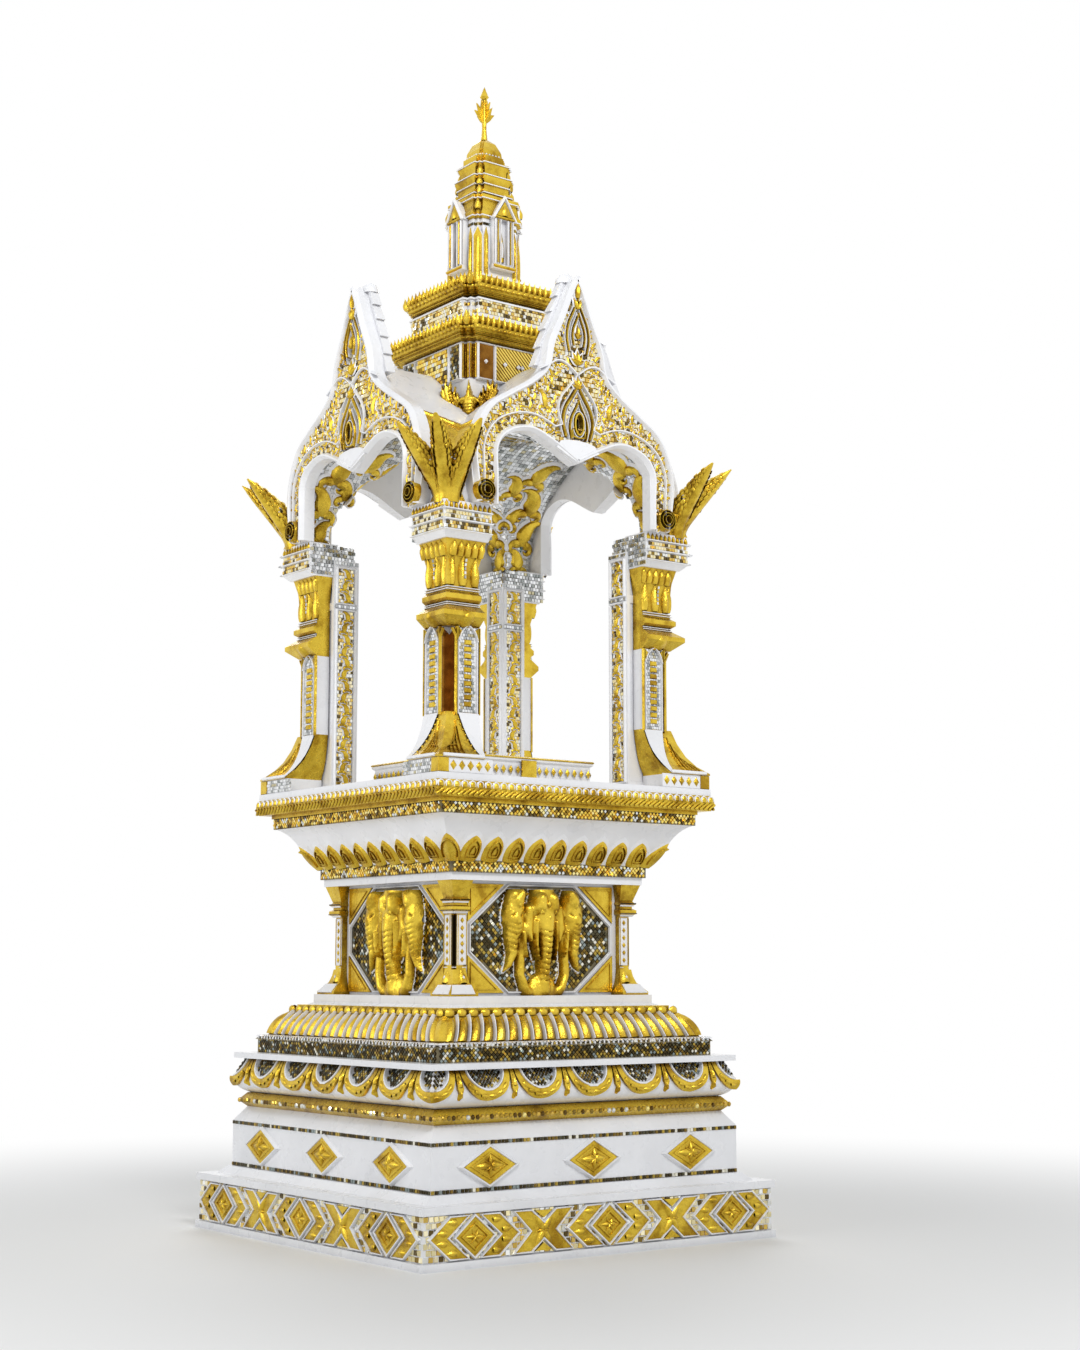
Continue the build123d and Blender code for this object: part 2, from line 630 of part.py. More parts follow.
# Deck moulding: a torus that stands proud of the deck, over a thin neck
torus_foot = TORUS_FOOT + TORUS_NECK_HEIGHT
with BuildSketch() as torus_view:
    with BuildLine():
        Polyline((0, DECK_FOOT), (0, TORUS_FOOT), (DECK_HALF - TORUS_NECK, TORUS_FOOT),
                 (DECK_HALF - TORUS_NECK, torus_foot), (DECK_HALF, torus_foot))
        ThreePointArc((DECK_HALF, torus_foot), (DECK_HALF + TORUS_PROUD, (torus_foot + DECK_FOOT) / 2),
                      (DECK_HALF, DECK_FOOT))
        Line((DECK_HALF, DECK_FOOT), (0, DECK_FOOT))
    make_face()
    mirror(about=Plane.YZ)
with BuildPart() as deck_moulding:
    add(square_course(torus_view.sketch))
deck_moulding.part.label = "deck_moulding"
export_step(deck_moulding.part, "parts/deck_moulding.step")

with BuildPart() as deck:
    add(square_course(side_view((DECK_HALF, DECK_FOOT), (DECK_HALF, DECK_TOP))))
deck.part.label = "deck"
export_step(deck.part, "parts/deck.step")

# Pedestal in the hall, where a figure stands
with BuildPart() as pedestal:
    add(square_course(side_view(*edge(
        PEDESTAL_HALF, PEDESTAL_RECESS, DECK_TOP, PEDESTAL_HEIGHT,
        (0, 0), (0, 0.14), (1, 0.2), (1, 0.8), (0, 0.86), (0, 1)))))
pedestal.part.label = "pedestal"
export_step(pedestal.part, "parts/pedestal.step")

# Inner piers with two sunk panels on each face
pier_middle = PIER_OUTER - PIER_WIDTH / 2
panel_width = PIER_WIDTH - 2 * PIER_PANEL_EDGE
panel_foot = DECK_TOP + 2 * PIER_PANEL_EDGE
divider = DECK_TOP + PIER_DIVIDER * PIER_HEIGHT
lower_panel = divider - PIER_PANEL_EDGE - panel_foot
upper_panel = PIER_TOP - 2 * PIER_PANEL_EDGE - divider - PIER_PANEL_EDGE
with BuildPart() as pier_panel:
    with BuildSketch(Plane.XZ.offset(PIER_WIDTH / 2 - PIER_PANEL_DEPTH)):
        with Locations((0, panel_foot + lower_panel / 2)):
            Rectangle(panel_width, lower_panel)
        with Locations((0, divider + PIER_PANEL_EDGE + upper_panel / 2)):
            Rectangle(panel_width, upper_panel)
    extrude(amount=PIER_PANEL_DEPTH)
with BuildPart() as pier:
    with BuildSketch(Plane.XY.offset(DECK_TOP)):
        Rectangle(PIER_WIDTH, PIER_WIDTH)
    extrude(amount=PIER_HEIGHT)
    add(all_sides(pier_panel.part), mode=Mode.SUBTRACT)
with BuildPart() as piers:
    with GridLocations(2 * pier_middle, 2 * pier_middle, 2, 2):
        add(pier.part)
piers.part.label = "piers"
export_step(piers.part, "parts/piers.step")

# Corner columns wrap the outer corner of each pier, so each course is cut back to the piers
with BuildPart() as pier_space:
    with BuildSketch(Plane.XY.offset(DECK_TOP)):
        Rectangle(2 * PIER_OUTER, 2 * PIER_OUTER)
    extrude(amount=PIER_HEIGHT)

plate_inner = COLUMN_PLATE_OUTER - COLUMN_PLATE_WIDTH
with BuildPart() as column_plates:
    add(corner_course([(COLUMN_PLATE_OUTER, DECK_TOP), (COLUMN_PLATE_OUTER, COLUMN_FOOT)],
                      [(plate_inner, DECK_TOP), (plate_inner, COLUMN_FOOT)], pier_space.part))
column_plates.part.label = "column_plates"
export_step(column_plates.part, "parts/column_plates.step")

# Flared column feet
column_inner = COLUMN_OUTER - COLUMN_WIDTH
foot_inner = COLUMN_FOOT_OUTER - COLUMN_FOOT_WIDTH
foot_shape = ((1, 0), (1, 0.04), (0.66, 0.2), (0.38, 0.42), (0.16, 0.7), (0, 1))
with BuildPart() as column_feet:
    add(corner_course(
        flared(COLUMN_OUTER, COLUMN_FOOT_OUTER - COLUMN_OUTER, COLUMN_FOOT, COLUMN_FOOT_HEIGHT, *foot_shape),
        flared(column_inner, foot_inner - column_inner, COLUMN_FOOT, COLUMN_FOOT_HEIGHT, *foot_shape),
        pier_space.part))
column_feet.part.label = "column_feet"
export_step(column_feet.part, "parts/column_feet.step")

# Column shafts with a notched outer corner
with BuildPart() as column_shafts:
    add(corner_course([(COLUMN_OUTER, SHAFT_FOOT), (COLUMN_OUTER, RINGS_FOOT)],
                      [(column_inner, SHAFT_FOOT), (column_inner, RINGS_FOOT)], pier_space.part))
    with BuildSketch(Plane.XY.offset(SHAFT_FOOT)):
        with GridLocations(2 * COLUMN_OUTER, 2 * COLUMN_OUTER, 2, 2):
            Rectangle(2 * COLUMN_NOTCH, 2 * COLUMN_NOTCH)
    extrude(amount=COLUMN_SHAFT_HEIGHT, mode=Mode.SUBTRACT)
column_shafts.part.label = "column_shafts"
export_step(column_shafts.part, "parts/column_shafts.step")

# Rings: a swelling bulge and a smaller ring over it
ring_shape = ((0, 0), (1, 0.24), (1, 0.36), (0.3, 0.5), (0, 0.56), (0, 0.62), (0.4, 0.7), (0.4, 0.82),
              (0, 0.9), (0, 1))
with BuildPart() as column_rings:
    add(corner_course(
        flared(COLUMN_OUTER, COLUMN_RING_FLARE, RINGS_FOOT, COLUMN_RINGS_HEIGHT, *ring_shape),
        [(column_inner, RINGS_FOOT), (column_inner, CAPITAL_FOOT)], pier_space.part))
column_rings.part.label = "column_rings"
export_step(column_rings.part, "parts/column_rings.step")

# Lotus capitals, wider at the top
capital_shape = ((0, 0), (0, 0.45), (1, 1))
with BuildPart() as column_capitals:
    add(corner_course(
        flared(COLUMN_OUTER - CAPITAL_NECK, CAPITAL_NECK + CAPITAL_FLARE, CAPITAL_FOOT, CAPITAL_HEIGHT,
               *capital_shape),
        flared(column_inner, -CAPITAL_FLARE, CAPITAL_FOOT, CAPITAL_HEIGHT, *capital_shape),
        pier_space.part))
column_capitals.part.label = "column_capitals"
export_step(column_capitals.part, "parts/column_capitals.step")

# Abacuses: a sloping slab under a banded block, open over the piers where the vault stands
abacus_inner = ABACUS_OUTER - ABACUS_WIDTH
vault_inner = VAULT_HALF - VAULT_SHELL
with BuildPart() as abacuses:
    add(corner_course(
        [(ABACUS_OUTER - ABACUS_BEVEL, ABACUS_FOOT), (ABACUS_OUTER, ABACUS_FOOT + ABACUS_BEVEL),
         (ABACUS_OUTER, SPRINGING)],
        [(abacus_inner, ABACUS_FOOT), (abacus_inner, SPRINGING)], pier_space.part))
    with BuildSketch(Plane.XY.offset(PIER_TOP)):
        Rectangle(2 * vault_inner, 2 * vault_inner)
    extrude(amount=SPRINGING - PIER_TOP, mode=Mode.SUBTRACT)
abacuses.part.label = "abacuses"
export_step(abacuses.part, "parts/abacuses.step")

# Vault: two pointed tunnels that cross over the hall, each side from a gable to the middle
gable_back = GABLE_FACE - GABLE_THICKNESS
outer_shape = ((0, 0), (0.02, 0.2), (0.12, 0.38), (0.32, 0.55), (0.51, 0.68), (0.7, 0.81), (0.86, 0.92), (1, 1))
inner_shape = ((0, 0), (0.03, 0.24), (0.115, 0.43), (0.29, 0.62), (0.5, 0.78), (0.73, 0.92), (1, 1))


def tunnel_view(shape, half, height):
    """The pointed view of a tunnel: a smooth curve up each side to the ridge."""
    with BuildSketch() as view:
        with BuildLine():
            right = edge(half, half, SPRINGING, height, *shape)
            Spline(*right)
            Polyline(right[-1], (0, SPRINGING), right[0])
        make_face()
        mirror(about=Plane.YZ)
    return view.sketch


outer_tunnel = tunnel_view(outer_shape, VAULT_HALF, VAULT_HEIGHT)
inner_tunnel = tunnel_view(inner_shape, vault_inner, INNER_RISE * VAULT_HEIGHT)
with BuildPart() as vault_mass:
    with BuildSketch(Plane.XZ, Plane.YZ):
        add(outer_tunnel)
    extrude(amount=gable_back, both=True)
with BuildPart() as vault_shell:
    add(vault_mass.part)
    with BuildSketch(Plane.XZ, Plane.YZ):
        add(inner_tunnel)
    extrude(amount=gable_back, both=True, mode=Mode.SUBTRACT)
sides = {"front": 0, "right": 90, "back": 180, "left": 270}
for side, turn in sides.items():
    with BuildPart() as vault:
        add(vault_shell.part)
        add(front_quarter(VAULT_TOP), rotation=(0, 0, turn), mode=Mode.INTERSECT)
    vault.part.label = f"{side}_vault"
    export_step(vault.part, f"parts/{side}_vault.step")

# Gables: a lobed lower edge, a swelling outline and a narrow spire with stepped fins behind it
gable_shape = ((0.05, 0), (0, 0.18), (0.04, 0.29), (0.15, 0.395), (0.345, 0.465), (0.55, 0.53),
               (0.69, 0.6), (0.735, 0.7), (0.84, 0.82), (0.94, 0.945), (1, 1))
lobe_shape = ((0, 0.227), (0.13, 0.29), (0.4, 0.317), (0.68, 0.28), (1, 0.216))
fin_shape = ((0.7, 0.61), (0.74, 0.69), (0.79, 0.77), (0.85, 0.85), (0.91, 0.92), (0.96, 1))
with BuildSketch() as gable_view:
    with BuildLine():
        rim = edge(GABLE_HALF, GABLE_HALF, SPRINGING, GABLE_HEIGHT, *gable_shape)
        lobe = edge(GABLE_JAMB, GABLE_JAMB, SPRINGING, GABLE_HEIGHT, *lobe_shape)
        Spline(*rim)
        Polyline(rim[-1], lobe[-1])
        Spline(*lobe)
        Polyline(lobe[0], (GABLE_JAMB, SPRINGING), rim[0])
    make_face()
    mirror(about=Plane.YZ)
fin_line = edge(GABLE_HALF, GABLE_HALF, SPRINGING, GABLE_HEIGHT, *fin_shape)
fin_corners = []
for (foot_half, foot), (top_half, top) in zip(fin_line, fin_line[1:]):
    fin_corners += [(foot_half + FIN_LIP, foot), (top_half + FIN_LIP / 3, top)]
with BuildPart() as front_gable:
    with BuildSketch(Plane.XZ.offset(gable_back)):
        add(gable_view.sketch)
    extrude(amount=GABLE_THICKNESS)
    with BuildSketch(Plane.XZ.offset(gable_back - FIN_DEPTH)):
        add(side_view(*fin_corners))
    extrude(amount=FIN_DEPTH)
    add(vault_mass.part, mode=Mode.SUBTRACT)
with BuildPart() as gables:
    add(all_sides(front_gable.part))
gables.part.label = "gables"
export_step(gables.part, "parts/gables.step")

# Serpent crests: three flame-edged heads that rear outward from a block on each abacus
crest_back = ((-0.1, 0.28), (0.04, 0.45), (0.16, 0.66), (0.2, 0.82), (0.3, 0.78), (0.38, 0.9), (0.48, 0.87),
              (0.6, 0.97), (0.72, 0.93), (1, 1))
crest_belly = ((1, 1), (0.82, 0.68), (0.7, 0.5), (0.56, 0.33), (0.42, 0.17), (0.26, 0.08), (0.17, 0))
crest_heel = CREST_BLOCK / 2
with BuildPart() as crest:
    with BuildSketch(Plane.XZ):
        with BuildLine():
            back = [(share * CREST_REACH, rise * CREST_HEIGHT) for share, rise in crest_back]
            belly = [(share * CREST_REACH, rise * CREST_HEIGHT) for share, rise in crest_belly]
            Polyline((-crest_heel, 0), *back)
            Spline(*belly)
            Line(belly[-1], (-crest_heel, 0))
        make_face()
    extrude(amount=CREST_THICKNESS / 2, both=True)
    with BuildSketch():
        Polygon((-crest_heel, -CREST_THICKNESS / 2), (CREST_REACH / 3, -CREST_THICKNESS / 2),
                (CREST_REACH, -CREST_THICKNESS / 8), (CREST_REACH, CREST_THICKNESS / 8),
                (CREST_REACH / 3, CREST_THICKNESS / 2), (-crest_heel, CREST_THICKNESS / 2))
    extrude(amount=CREST_HEIGHT, mode=Mode.INTERSECT)
with BuildPart() as crest_group:
    with Locations((CREST_CENTRE, CREST_CENTRE, SPRINGING)):
        Box(CREST_BLOCK, CREST_BLOCK, CREST_BLOCK_HEIGHT, align=(Align.CENTER, Align.CENTER, Align.MIN))
        for turn in (-CREST_TURN, 0, CREST_TURN):
            add(crest.part, rotation=(0, 0, turn + CREST_TURN))
    add(vault_mass.part, mode=Mode.SUBTRACT)
with BuildPart() as naga_heads:
    add(all_sides(crest_group.part))
naga_heads.part.label = "naga_heads"
export_step(naga_heads.part, "parts/naga_heads.step")

# Crown corners: white blocks that fill the valleys under the drum
with BuildPart() as crown_corners:
    with BuildSketch(Plane.XY.offset(SPRINGING)):
        Rectangle(2 * CROWN_HALF, 2 * CROWN_HALF)
    extrude(amount=DRUM_FOOT - SPRINGING)
    add(vault_mass.part, mode=Mode.SUBTRACT)
crown_corners.part.label = "crown_corners"
export_step(crown_corners.part, "parts/crown_corners.step")

# Winged figures on the crown corners: raised wings, a head between them and a pointed tail
garuda_shape = ((0, 0), (0.43, 0.08), (0.8, 0.36), (1.04, 0.7), (0.94, 1), (0.86, 0.84), (0.64, 0.78),
                (0.42, 0.58), (0.16, 0.64), (0.14, 0.84), (0, 1))
garuda_foot = DRUM_FOOT - GARUDA_DROP - GARUDA_HEIGHT
outward = Vector(1, 1, 0).normalized()
with BuildPart() as garuda:
    with BuildSketch(Plane(outward * GARUDA_RADIUS, x_dir=(-1, 1, 0), z_dir=outward)):
        with BuildLine():
            Polyline(*edge(0, -GARUDA_HALF, garuda_foot, GARUDA_HEIGHT, *garuda_shape), close=True)
        make_face()
        mirror(about=Plane.YZ)
    extrude(amount=GARUDA_THICKNESS)
    add(crown_corners.part, mode=Mode.SUBTRACT)
    add(vault_mass.part, mode=Mode.SUBTRACT)
with BuildPart() as garudas:
    add(all_sides(garuda.part))
garudas.part.label = "garudas"
export_step(garudas.part, "parts/garudas.step")

# Drum of square plan with stepped corners, cut where the tunnels run into it
with BuildPart() as drum:
    add(redented([(DRUM_HALF, DRUM_FOOT), (DRUM_HALF, LOWER_EAVE_FOOT)], REDENT, 2))
    add(vault_mass.part, mode=Mode.SUBTRACT)
drum.part.label = "drum"
export_step(drum.part, "parts/drum.step")


def eave(half, foot, height, neck):
    """An eave of square plan with stepped corners: a sloping soffit, a lip and a low wall for the crest."""
    ledge = EAVE_CREST_SHARE
    lip = edge(half, EAVE_DEPTH, foot, height,
               (1, 0.08), (0.25, 0.34), (0, 0.42), (0, ledge), (1, ledge), (1, 1))
    return redented([(neck, foot), *lip, (neck - EAVE_DEPTH / 2, foot + height)], REDENT, 2)


with BuildPart() as eaves:
    add(eave(LOWER_EAVE_HALF, LOWER_EAVE_FOOT, LOWER_EAVE_HEIGHT, DRUM_HALF))
    add(eave(UPPER_EAVE_HALF, UPPER_EAVE_FOOT, UPPER_EAVE_HEIGHT, UPPER_EAVE_NECK))
eaves.part.label = "eaves"
export_step(eaves.part, "parts/eaves.step")

with BuildPart() as roof_neck:
    add(redented([(NECK_HALF, NECK_FOOT), (NECK_HALF, UPPER_EAVE_FOOT)], REDENT, 2))
roof_neck.part.label = "roof_neck"
export_step(roof_neck.part, "parts/roof_neck.step")


def crest_row(length, height):
    """A row of pointed leaves on a low strip, as long as given."""
    count = max(1, round(length / CREST_LEAF))
    pitch = length / count
    with BuildSketch() as row:
        Rectangle(length, height / 3, align=(Align.CENTER, Align.MIN))
        with GridLocations(pitch, 0, count, 1):
            Polygon((-0.4 * pitch, height / 3), (0.4 * pitch, height / 3), (0.4 * pitch, 0.6 * height),
                    (0, height), (-0.4 * pitch, 0.6 * height))
    return row.sketch


def front_crests(half, foot, height):
    """The leaf rows at the front of an eave: the long one in the middle and one on each step of the corners."""
    with BuildPart() as rows:
        with BuildSketch(Plane.XZ.offset(half - CREST_LEAF_THICKNESS)):
            with Locations((0, foot)):
                add(crest_row(2 * (half - 2 * REDENT), height))
        extrude(amount=CREST_LEAF_THICKNESS)
        for step in (1, 2):
            with BuildSketch(Plane.XZ.offset(half - step * REDENT - CREST_LEAF_THICKNESS)):
                with GridLocations(2 * half - (5 - 2 * step) * REDENT, 0, 2, 1):
                    with Locations((0, foot)):
                        add(crest_row(REDENT, height))
            extrude(amount=CREST_LEAF_THICKNESS)
    return rows.part


# Rows of pointed leaves that stand on the lips of both eaves
with BuildPart() as eave_crests:
    for half, foot, height in ((LOWER_EAVE_HALF, LOWER_EAVE_FOOT, LOWER_EAVE_HEIGHT),
                               (UPPER_EAVE_HALF, UPPER_EAVE_FOOT, UPPER_EAVE_HEIGHT)):
        add(all_sides(front_crests(half, foot + EAVE_CREST_SHARE * height, (1 - EAVE_CREST_SHARE) * height)))
eave_crests.part.label = "eave_crests"
export_step(eave_crests.part, "parts/eave_crests.step")

# Tower: a flared foot, an upright wall and a narrow neck under the prang
tower_wall = TOWER_FOOT + TOWER_FOOT_HEIGHT
tower_neck = PRANG_FOOT - TOWER_NECK_HEIGHT
with BuildPart() as tower:
    add(redented([(TOWER_HALF + TOWER_FLARE, TOWER_FOOT), (TOWER_HALF, tower_wall), (TOWER_HALF, tower_neck),
                  (TOWER_HALF - TOWER_FLARE, PRANG_FOOT)], PRANG_REDENT, 2))
tower.part.label = "tower"
export_step(tower.part, "parts/tower.step")

# Niche houses: a sill, two jambs beside a niche and a pediment that stands proud
niche_foot = TOWER_FOOT + NICHE_FOOT
niche_top = PRANG_FOOT - NICHE_PEDIMENT
with BuildPart() as niche_house:
    with BuildSketch(Plane.XZ.offset(TOWER_HALF)):
        with Locations((0, niche_foot)):
            Rectangle(NICHE_WIDTH, niche_top - niche_foot, align=(Align.CENTER, Align.MIN))
    extrude(amount=NICHE_DEPTH)
    with BuildSketch(Plane.XZ.offset(TOWER_HALF + NICHE_DEPTH - NICHE_RECESS)):
        with Locations((0, niche_foot + NICHE_SILL)):
            Rectangle(NICHE_OPENING, niche_top - niche_foot - NICHE_SILL, align=(Align.CENTER, Align.MIN))
    extrude(amount=NICHE_RECESS, mode=Mode.SUBTRACT)
    with BuildSketch(Plane.XZ.offset(TOWER_HALF)):
        with Locations((0, niche_foot)):
            Rectangle(NICHE_WIDTH + NICHE_STEP, NICHE_SILL, align=(Align.CENTER, Align.MIN))
        with Locations((0, niche_top)):
            Polygon((-NICHE_WIDTH / 2 - NICHE_STEP, 0), (NICHE_WIDTH / 2 + NICHE_STEP, 0),
                    (0, 0.9 * NICHE_PEDIMENT))
    extrude(amount=NICHE_DEPTH + NICHE_STEP)
    add(tower.part, mode=Mode.SUBTRACT)
with BuildPart() as niche_houses:
    add(all_sides(niche_house.part))
niche_houses.part.label = "niche_houses"
export_step(niche_houses.part, "parts/niche_houses.step")

# Prang: stepped tiers with projecting lips, then a ribbed cap
prang_shape = ((1, 0), (0, 0.1), (0, 0.15), (0.8, 0.18), (0.8, 0.33), (0.2, 0.43), (0.2, 0.48), (1.2, 0.52),
               (1.2, 0.67), (0.7, 0.77), (0.7, 0.82), (1.8, 0.85), (1.8, 1))
with BuildPart() as prang:
    add(redented(edge(PRANG_HALF + PRANG_LIP / 2, PRANG_LIP, PRANG_FOOT, PRANG_HEIGHT, *prang_shape),
                 PRANG_REDENT, 2))
prang.part.label = "prang"
export_step(prang.part, "parts/prang.step")

cap_shape = ((0, 0), (0.05, 0.35), (0.32, 0.75), (0.74, 1))
with BuildPart() as prang_cap:
    add(redented(edge(CAP_HALF, CAP_HALF, CAP_FOOT, CAP_HEIGHT, *cap_shape), CAP_REDENT, 2))
prang_cap.part.label = "prang_cap"
export_step(prang_cap.part, "parts/prang_cap.step")

# Finial: a turned stem with a bud, and two crossed pairs of fronds
stem_shape = ((0.75, 0), (0.5, 0.2), (0.6, 0.5), (0.33, 0.74), (1, 0.8), (0, 1))
frond_shape = ((0, 0), (0.55, 0.22), (1, 0.5), (0.62, 0.48), (0.8, 0.8), (0.4, 0.66), (0.3, 1), (0, 0.8))
with BuildPart() as finial:
    with BuildSketch(Plane.XZ):
        with BuildLine():
            stem = [(share * FINIAL_RADIUS, FINIAL_FOOT + rise * FINIAL_HEIGHT) for share, rise in stem_shape]
            Polyline((0, FINIAL_FOOT), *stem, close=True)
        make_face()
    revolve(axis=Axis.Z)
    with BuildSketch(Plane.XZ, Plane.YZ):
        with BuildLine():
            frond = [(share * FROND_HALF, FINIAL_FOOT + FROND_FOOT + rise * FROND_HEIGHT)
                     for share, rise in frond_shape]
            Polyline(*frond, close=True)
        make_face()
        mirror(about=Plane.YZ)
    extrude(amount=FROND_THICKNESS / 2, both=True)
finial.part.label = "finial"
export_step(finial.part, "parts/finial.step")
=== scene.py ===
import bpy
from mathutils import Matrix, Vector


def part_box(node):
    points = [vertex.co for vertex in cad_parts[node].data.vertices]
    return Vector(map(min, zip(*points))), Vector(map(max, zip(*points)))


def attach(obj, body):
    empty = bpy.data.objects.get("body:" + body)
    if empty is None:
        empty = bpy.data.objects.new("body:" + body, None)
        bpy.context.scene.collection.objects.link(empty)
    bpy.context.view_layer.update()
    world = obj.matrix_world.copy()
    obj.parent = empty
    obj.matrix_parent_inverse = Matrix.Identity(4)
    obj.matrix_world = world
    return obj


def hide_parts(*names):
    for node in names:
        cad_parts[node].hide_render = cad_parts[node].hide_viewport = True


bl_info = {
    "name": "Mirror-tiled spirit house",
    "version": (1, 0, 0),
    "blender": (4, 5, 0),
    "location": "3D View > Sidebar > Spirit house",
    "description": "Dresses the packed spirit house with mosaic, gilded carving and painted edges",
    "category": "Add Mesh",
}

from math import asin, atan2, copysign, cos, degrees, exp, pi, radians, sin, sqrt

import bmesh
import bpy
import numpy as np
from mathutils import Matrix, Vector
from mathutils.bvhtree import BVHTree
from mathutils.geometry import tessellate_polygon

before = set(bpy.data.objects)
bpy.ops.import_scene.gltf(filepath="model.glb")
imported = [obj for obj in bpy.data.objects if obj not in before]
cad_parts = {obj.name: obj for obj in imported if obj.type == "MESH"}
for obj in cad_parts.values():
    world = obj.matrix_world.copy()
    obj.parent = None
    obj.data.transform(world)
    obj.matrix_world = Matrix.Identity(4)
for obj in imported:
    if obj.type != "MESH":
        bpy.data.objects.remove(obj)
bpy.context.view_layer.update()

# Forms are worked out in millimetres and made meshes in metres
MM = 0.001
SIDES = 4
FAR = 3000.0


def span(node):
    """Half width, foot and top of a square course, in millimetres."""
    low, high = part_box(node)
    return high.x / MM, low.z / MM, high.z / MM


# Levels and half widths that the frame gives
PLINTH_HALF, _, PLINTH_TOP = span("base_plinth")
ROD_HALF, ROD_FOOT, ROD_TOP = span("rod_moulding")
GARLAND_LEDGE_HALF, _, _ = span("garland_moulding")
_, BAND_FOOT, BAND_TOP = span("lower_mirror_band")
LOTUS_HALF, LOTUS_FOOT, LOTUS_TOP = span("lotus_moulding")
DADO_HALF, DADO_FOOT, DADO_TOP = span("dado_body")
_, FRIEZE_FOOT, _ = span("mirror_friezes")
_, CORNICE_FOOT, CORNICE_TOP = span("petal_cornice")
TORUS_HALF, TORUS_FOOT, _ = span("deck_moulding")
_, _, DECK_TOP = span("deck")
PEDESTAL_HALF, _, PEDESTAL_TOP = span("pedestal")
PLATE_HALF, _, PLATE_TOP = span("column_plates")
_, _, FOOT_TOP = span("column_feet")
SHAFT_HALF, _, SHAFT_TOP = span("column_shafts")
_, _, RING_TOP = span("column_rings")
_, _, CAPITAL_TOP = span("column_capitals")
ABACUS_HALF, _, SPRINGING = span("abacuses")
_, _, GABLE_TOP = span("gables")
DRUM_HALF, DRUM_FOOT, DRUM_TOP = span("drum")
EAVE_HALF, EAVE_FOOT, _ = span("eaves")
NECK_HALF, NECK_FOOT, NECK_TOP = span("roof_neck")
_, TOWER_FOOT, _ = span("tower")
_, PRANG_FOOT, PRANG_TOP = span("prang")
CAP_HALF, _, _ = span("prang_cap")

# Sizes that no box gives, in millimetres
BAND_INSET = 8
LOZENGE_PITCH = 375
LOZENGE_HALF = 54
LOZENGE_RISE = 45.5
CHEVRON_GAP = 16
CHEVRON_WIDTH = 50
BLOCK_HALF = 450
BLOCK_FOOT = 153
BLOCK_TOP = 265.5
DIAMOND_PITCH = 295
DIAMOND_HALF = 83
DIAMOND_RISE = 49
SWAG_TOP = 421
SWAG_COUNT = 6
SWAG_PITCH = 2 * 449 / SWAG_COUNT
BAND_HALF = 407
NECK_OF_LOTUS = 335
FIELD_HALF = 213
FIELD_RISE = 128
FIELD_FLAT = 100
FIELD_SIDE = 32
LOWER_FRIEZE_HALF = 296
UPPER_FRIEZE_HALF = 385
PETAL_PITCH = 64
GABLE_FACE = 396
ROOF_STEP = 14
FOOT_OF_SLAB = 294
GABLE_BACK = 366
GABLE_HALF = 312
OPENING_HALF = 236
PILASTER_MIDDLE = 712
PIER_CENTRE = 269
PIER_WIDTH = 74
PANEL_WIDTH = 54
ABACUS_INNER = 239
ABACUS_MIDDLE = 308
ABACUS_FIELD = 134


def paint(name, description, default):
    """A colour that the panel shows."""
    return bpy.props.FloatVectorProperty(
        name=name, description=description, subtype="COLOR", size=3, default=default, min=0, max=1)


class ShrineColours(bpy.types.PropertyGroup):
    """Colours of the paints."""
    gold: paint("Gold paint", "Bright gold paint on the carving", (0.76, 0.54, 0.055))
    # The gold in hollows is painted shade: the gold finish turns to it, and darker still, where the carving
    # is deep
    gold_painted_shade: paint("Gold in hollows", "Deeper gold where the paint lies thick", (0.42, 0.24, 0.016))
    white: paint("White paint", "Gloss white on mouldings and edges", (0.9, 0.905, 0.925))


class ShrineSizes(bpy.types.PropertyGroup):
    """Sizes of the mirror tiles."""
    tile: bpy.props.FloatProperty(
        name="Small tile", description="Side of the small mirror tiles", unit="LENGTH", default=0.012)
    joint: bpy.props.FloatProperty(
        name="Joint", description="Gap between tiles", unit="LENGTH", default=0.0016)
    tilt: bpy.props.FloatProperty(
        name="Tile tilt", description="How far hand-set tiles lean from the wall", unit="ROTATION",
        default=radians(7))


# Forms: a form is (points, faces) in millimetres


def joined(*forms):
    """Several forms as one."""
    points, faces, count = [], [], 0
    for corners, polygons in forms:
        points.append(corners)
        faces += [tuple(i + count for i in polygon) for polygon in polygons]
        count += len(corners)
    return np.vstack(points), faces


def to(x=0.0, y=0.0, z=0.0):
    """A move."""
    return Matrix.Translation((x, y, z))


def turned(angle, axis="Z"):
    """A turn about an axis, in degrees."""
    return Matrix.Rotation(radians(angle), 4, axis)


def moved(shape, *matrices):
    """A form under one matrix after another."""
    points, faces = shape
    for matrix in matrices:
        points = points @ np.array(matrix.to_3x3()).T + np.array(matrix.translation)
    return points, faces


def flipped(shape, way=(-1, 1, 1)):
    """A form's mirror image, left for right if not told otherwise, with its faces still outward."""
    points, faces = shape
    return points * way, [polygon[::-1] for polygon in faces]


def quarter(k):
    """The turn from the front to the k-th side."""
    return turned(90 * k)


def on_sides(shape, sides=SIDES):
    """A front form repeated on the sides, all four if not told otherwise."""
    return joined(*(moved(shape, quarter(k)) for k in range(sides)))


def wall(half, level=0.0, lean=0.0, x=0.0):
    """The frame of a front wall: x to the right, y up the wall and z outward. Lean tips its top forward."""
    return to(x, -half, level) @ turned(90 + lean, "X")


def grid_faces(rows, across, start=0):
    """Quads of a grid of points laid row by row."""
    return [(start + r * across + c, start + r * across + c + 1,
             start + (r + 1) * across + c + 1, start + (r + 1) * across + c)
            for r in range(rows - 1) for c in range(across - 1)]


def tube_faces(rows, around):
    """Quads of rings of points, each ring closed on itself."""
    return [(r * around + c, r * around + (c + 1) % around,
             (r + 1) * around + (c + 1) % around, (r + 1) * around + c)
            for r in range(rows - 1) for c in range(around)]


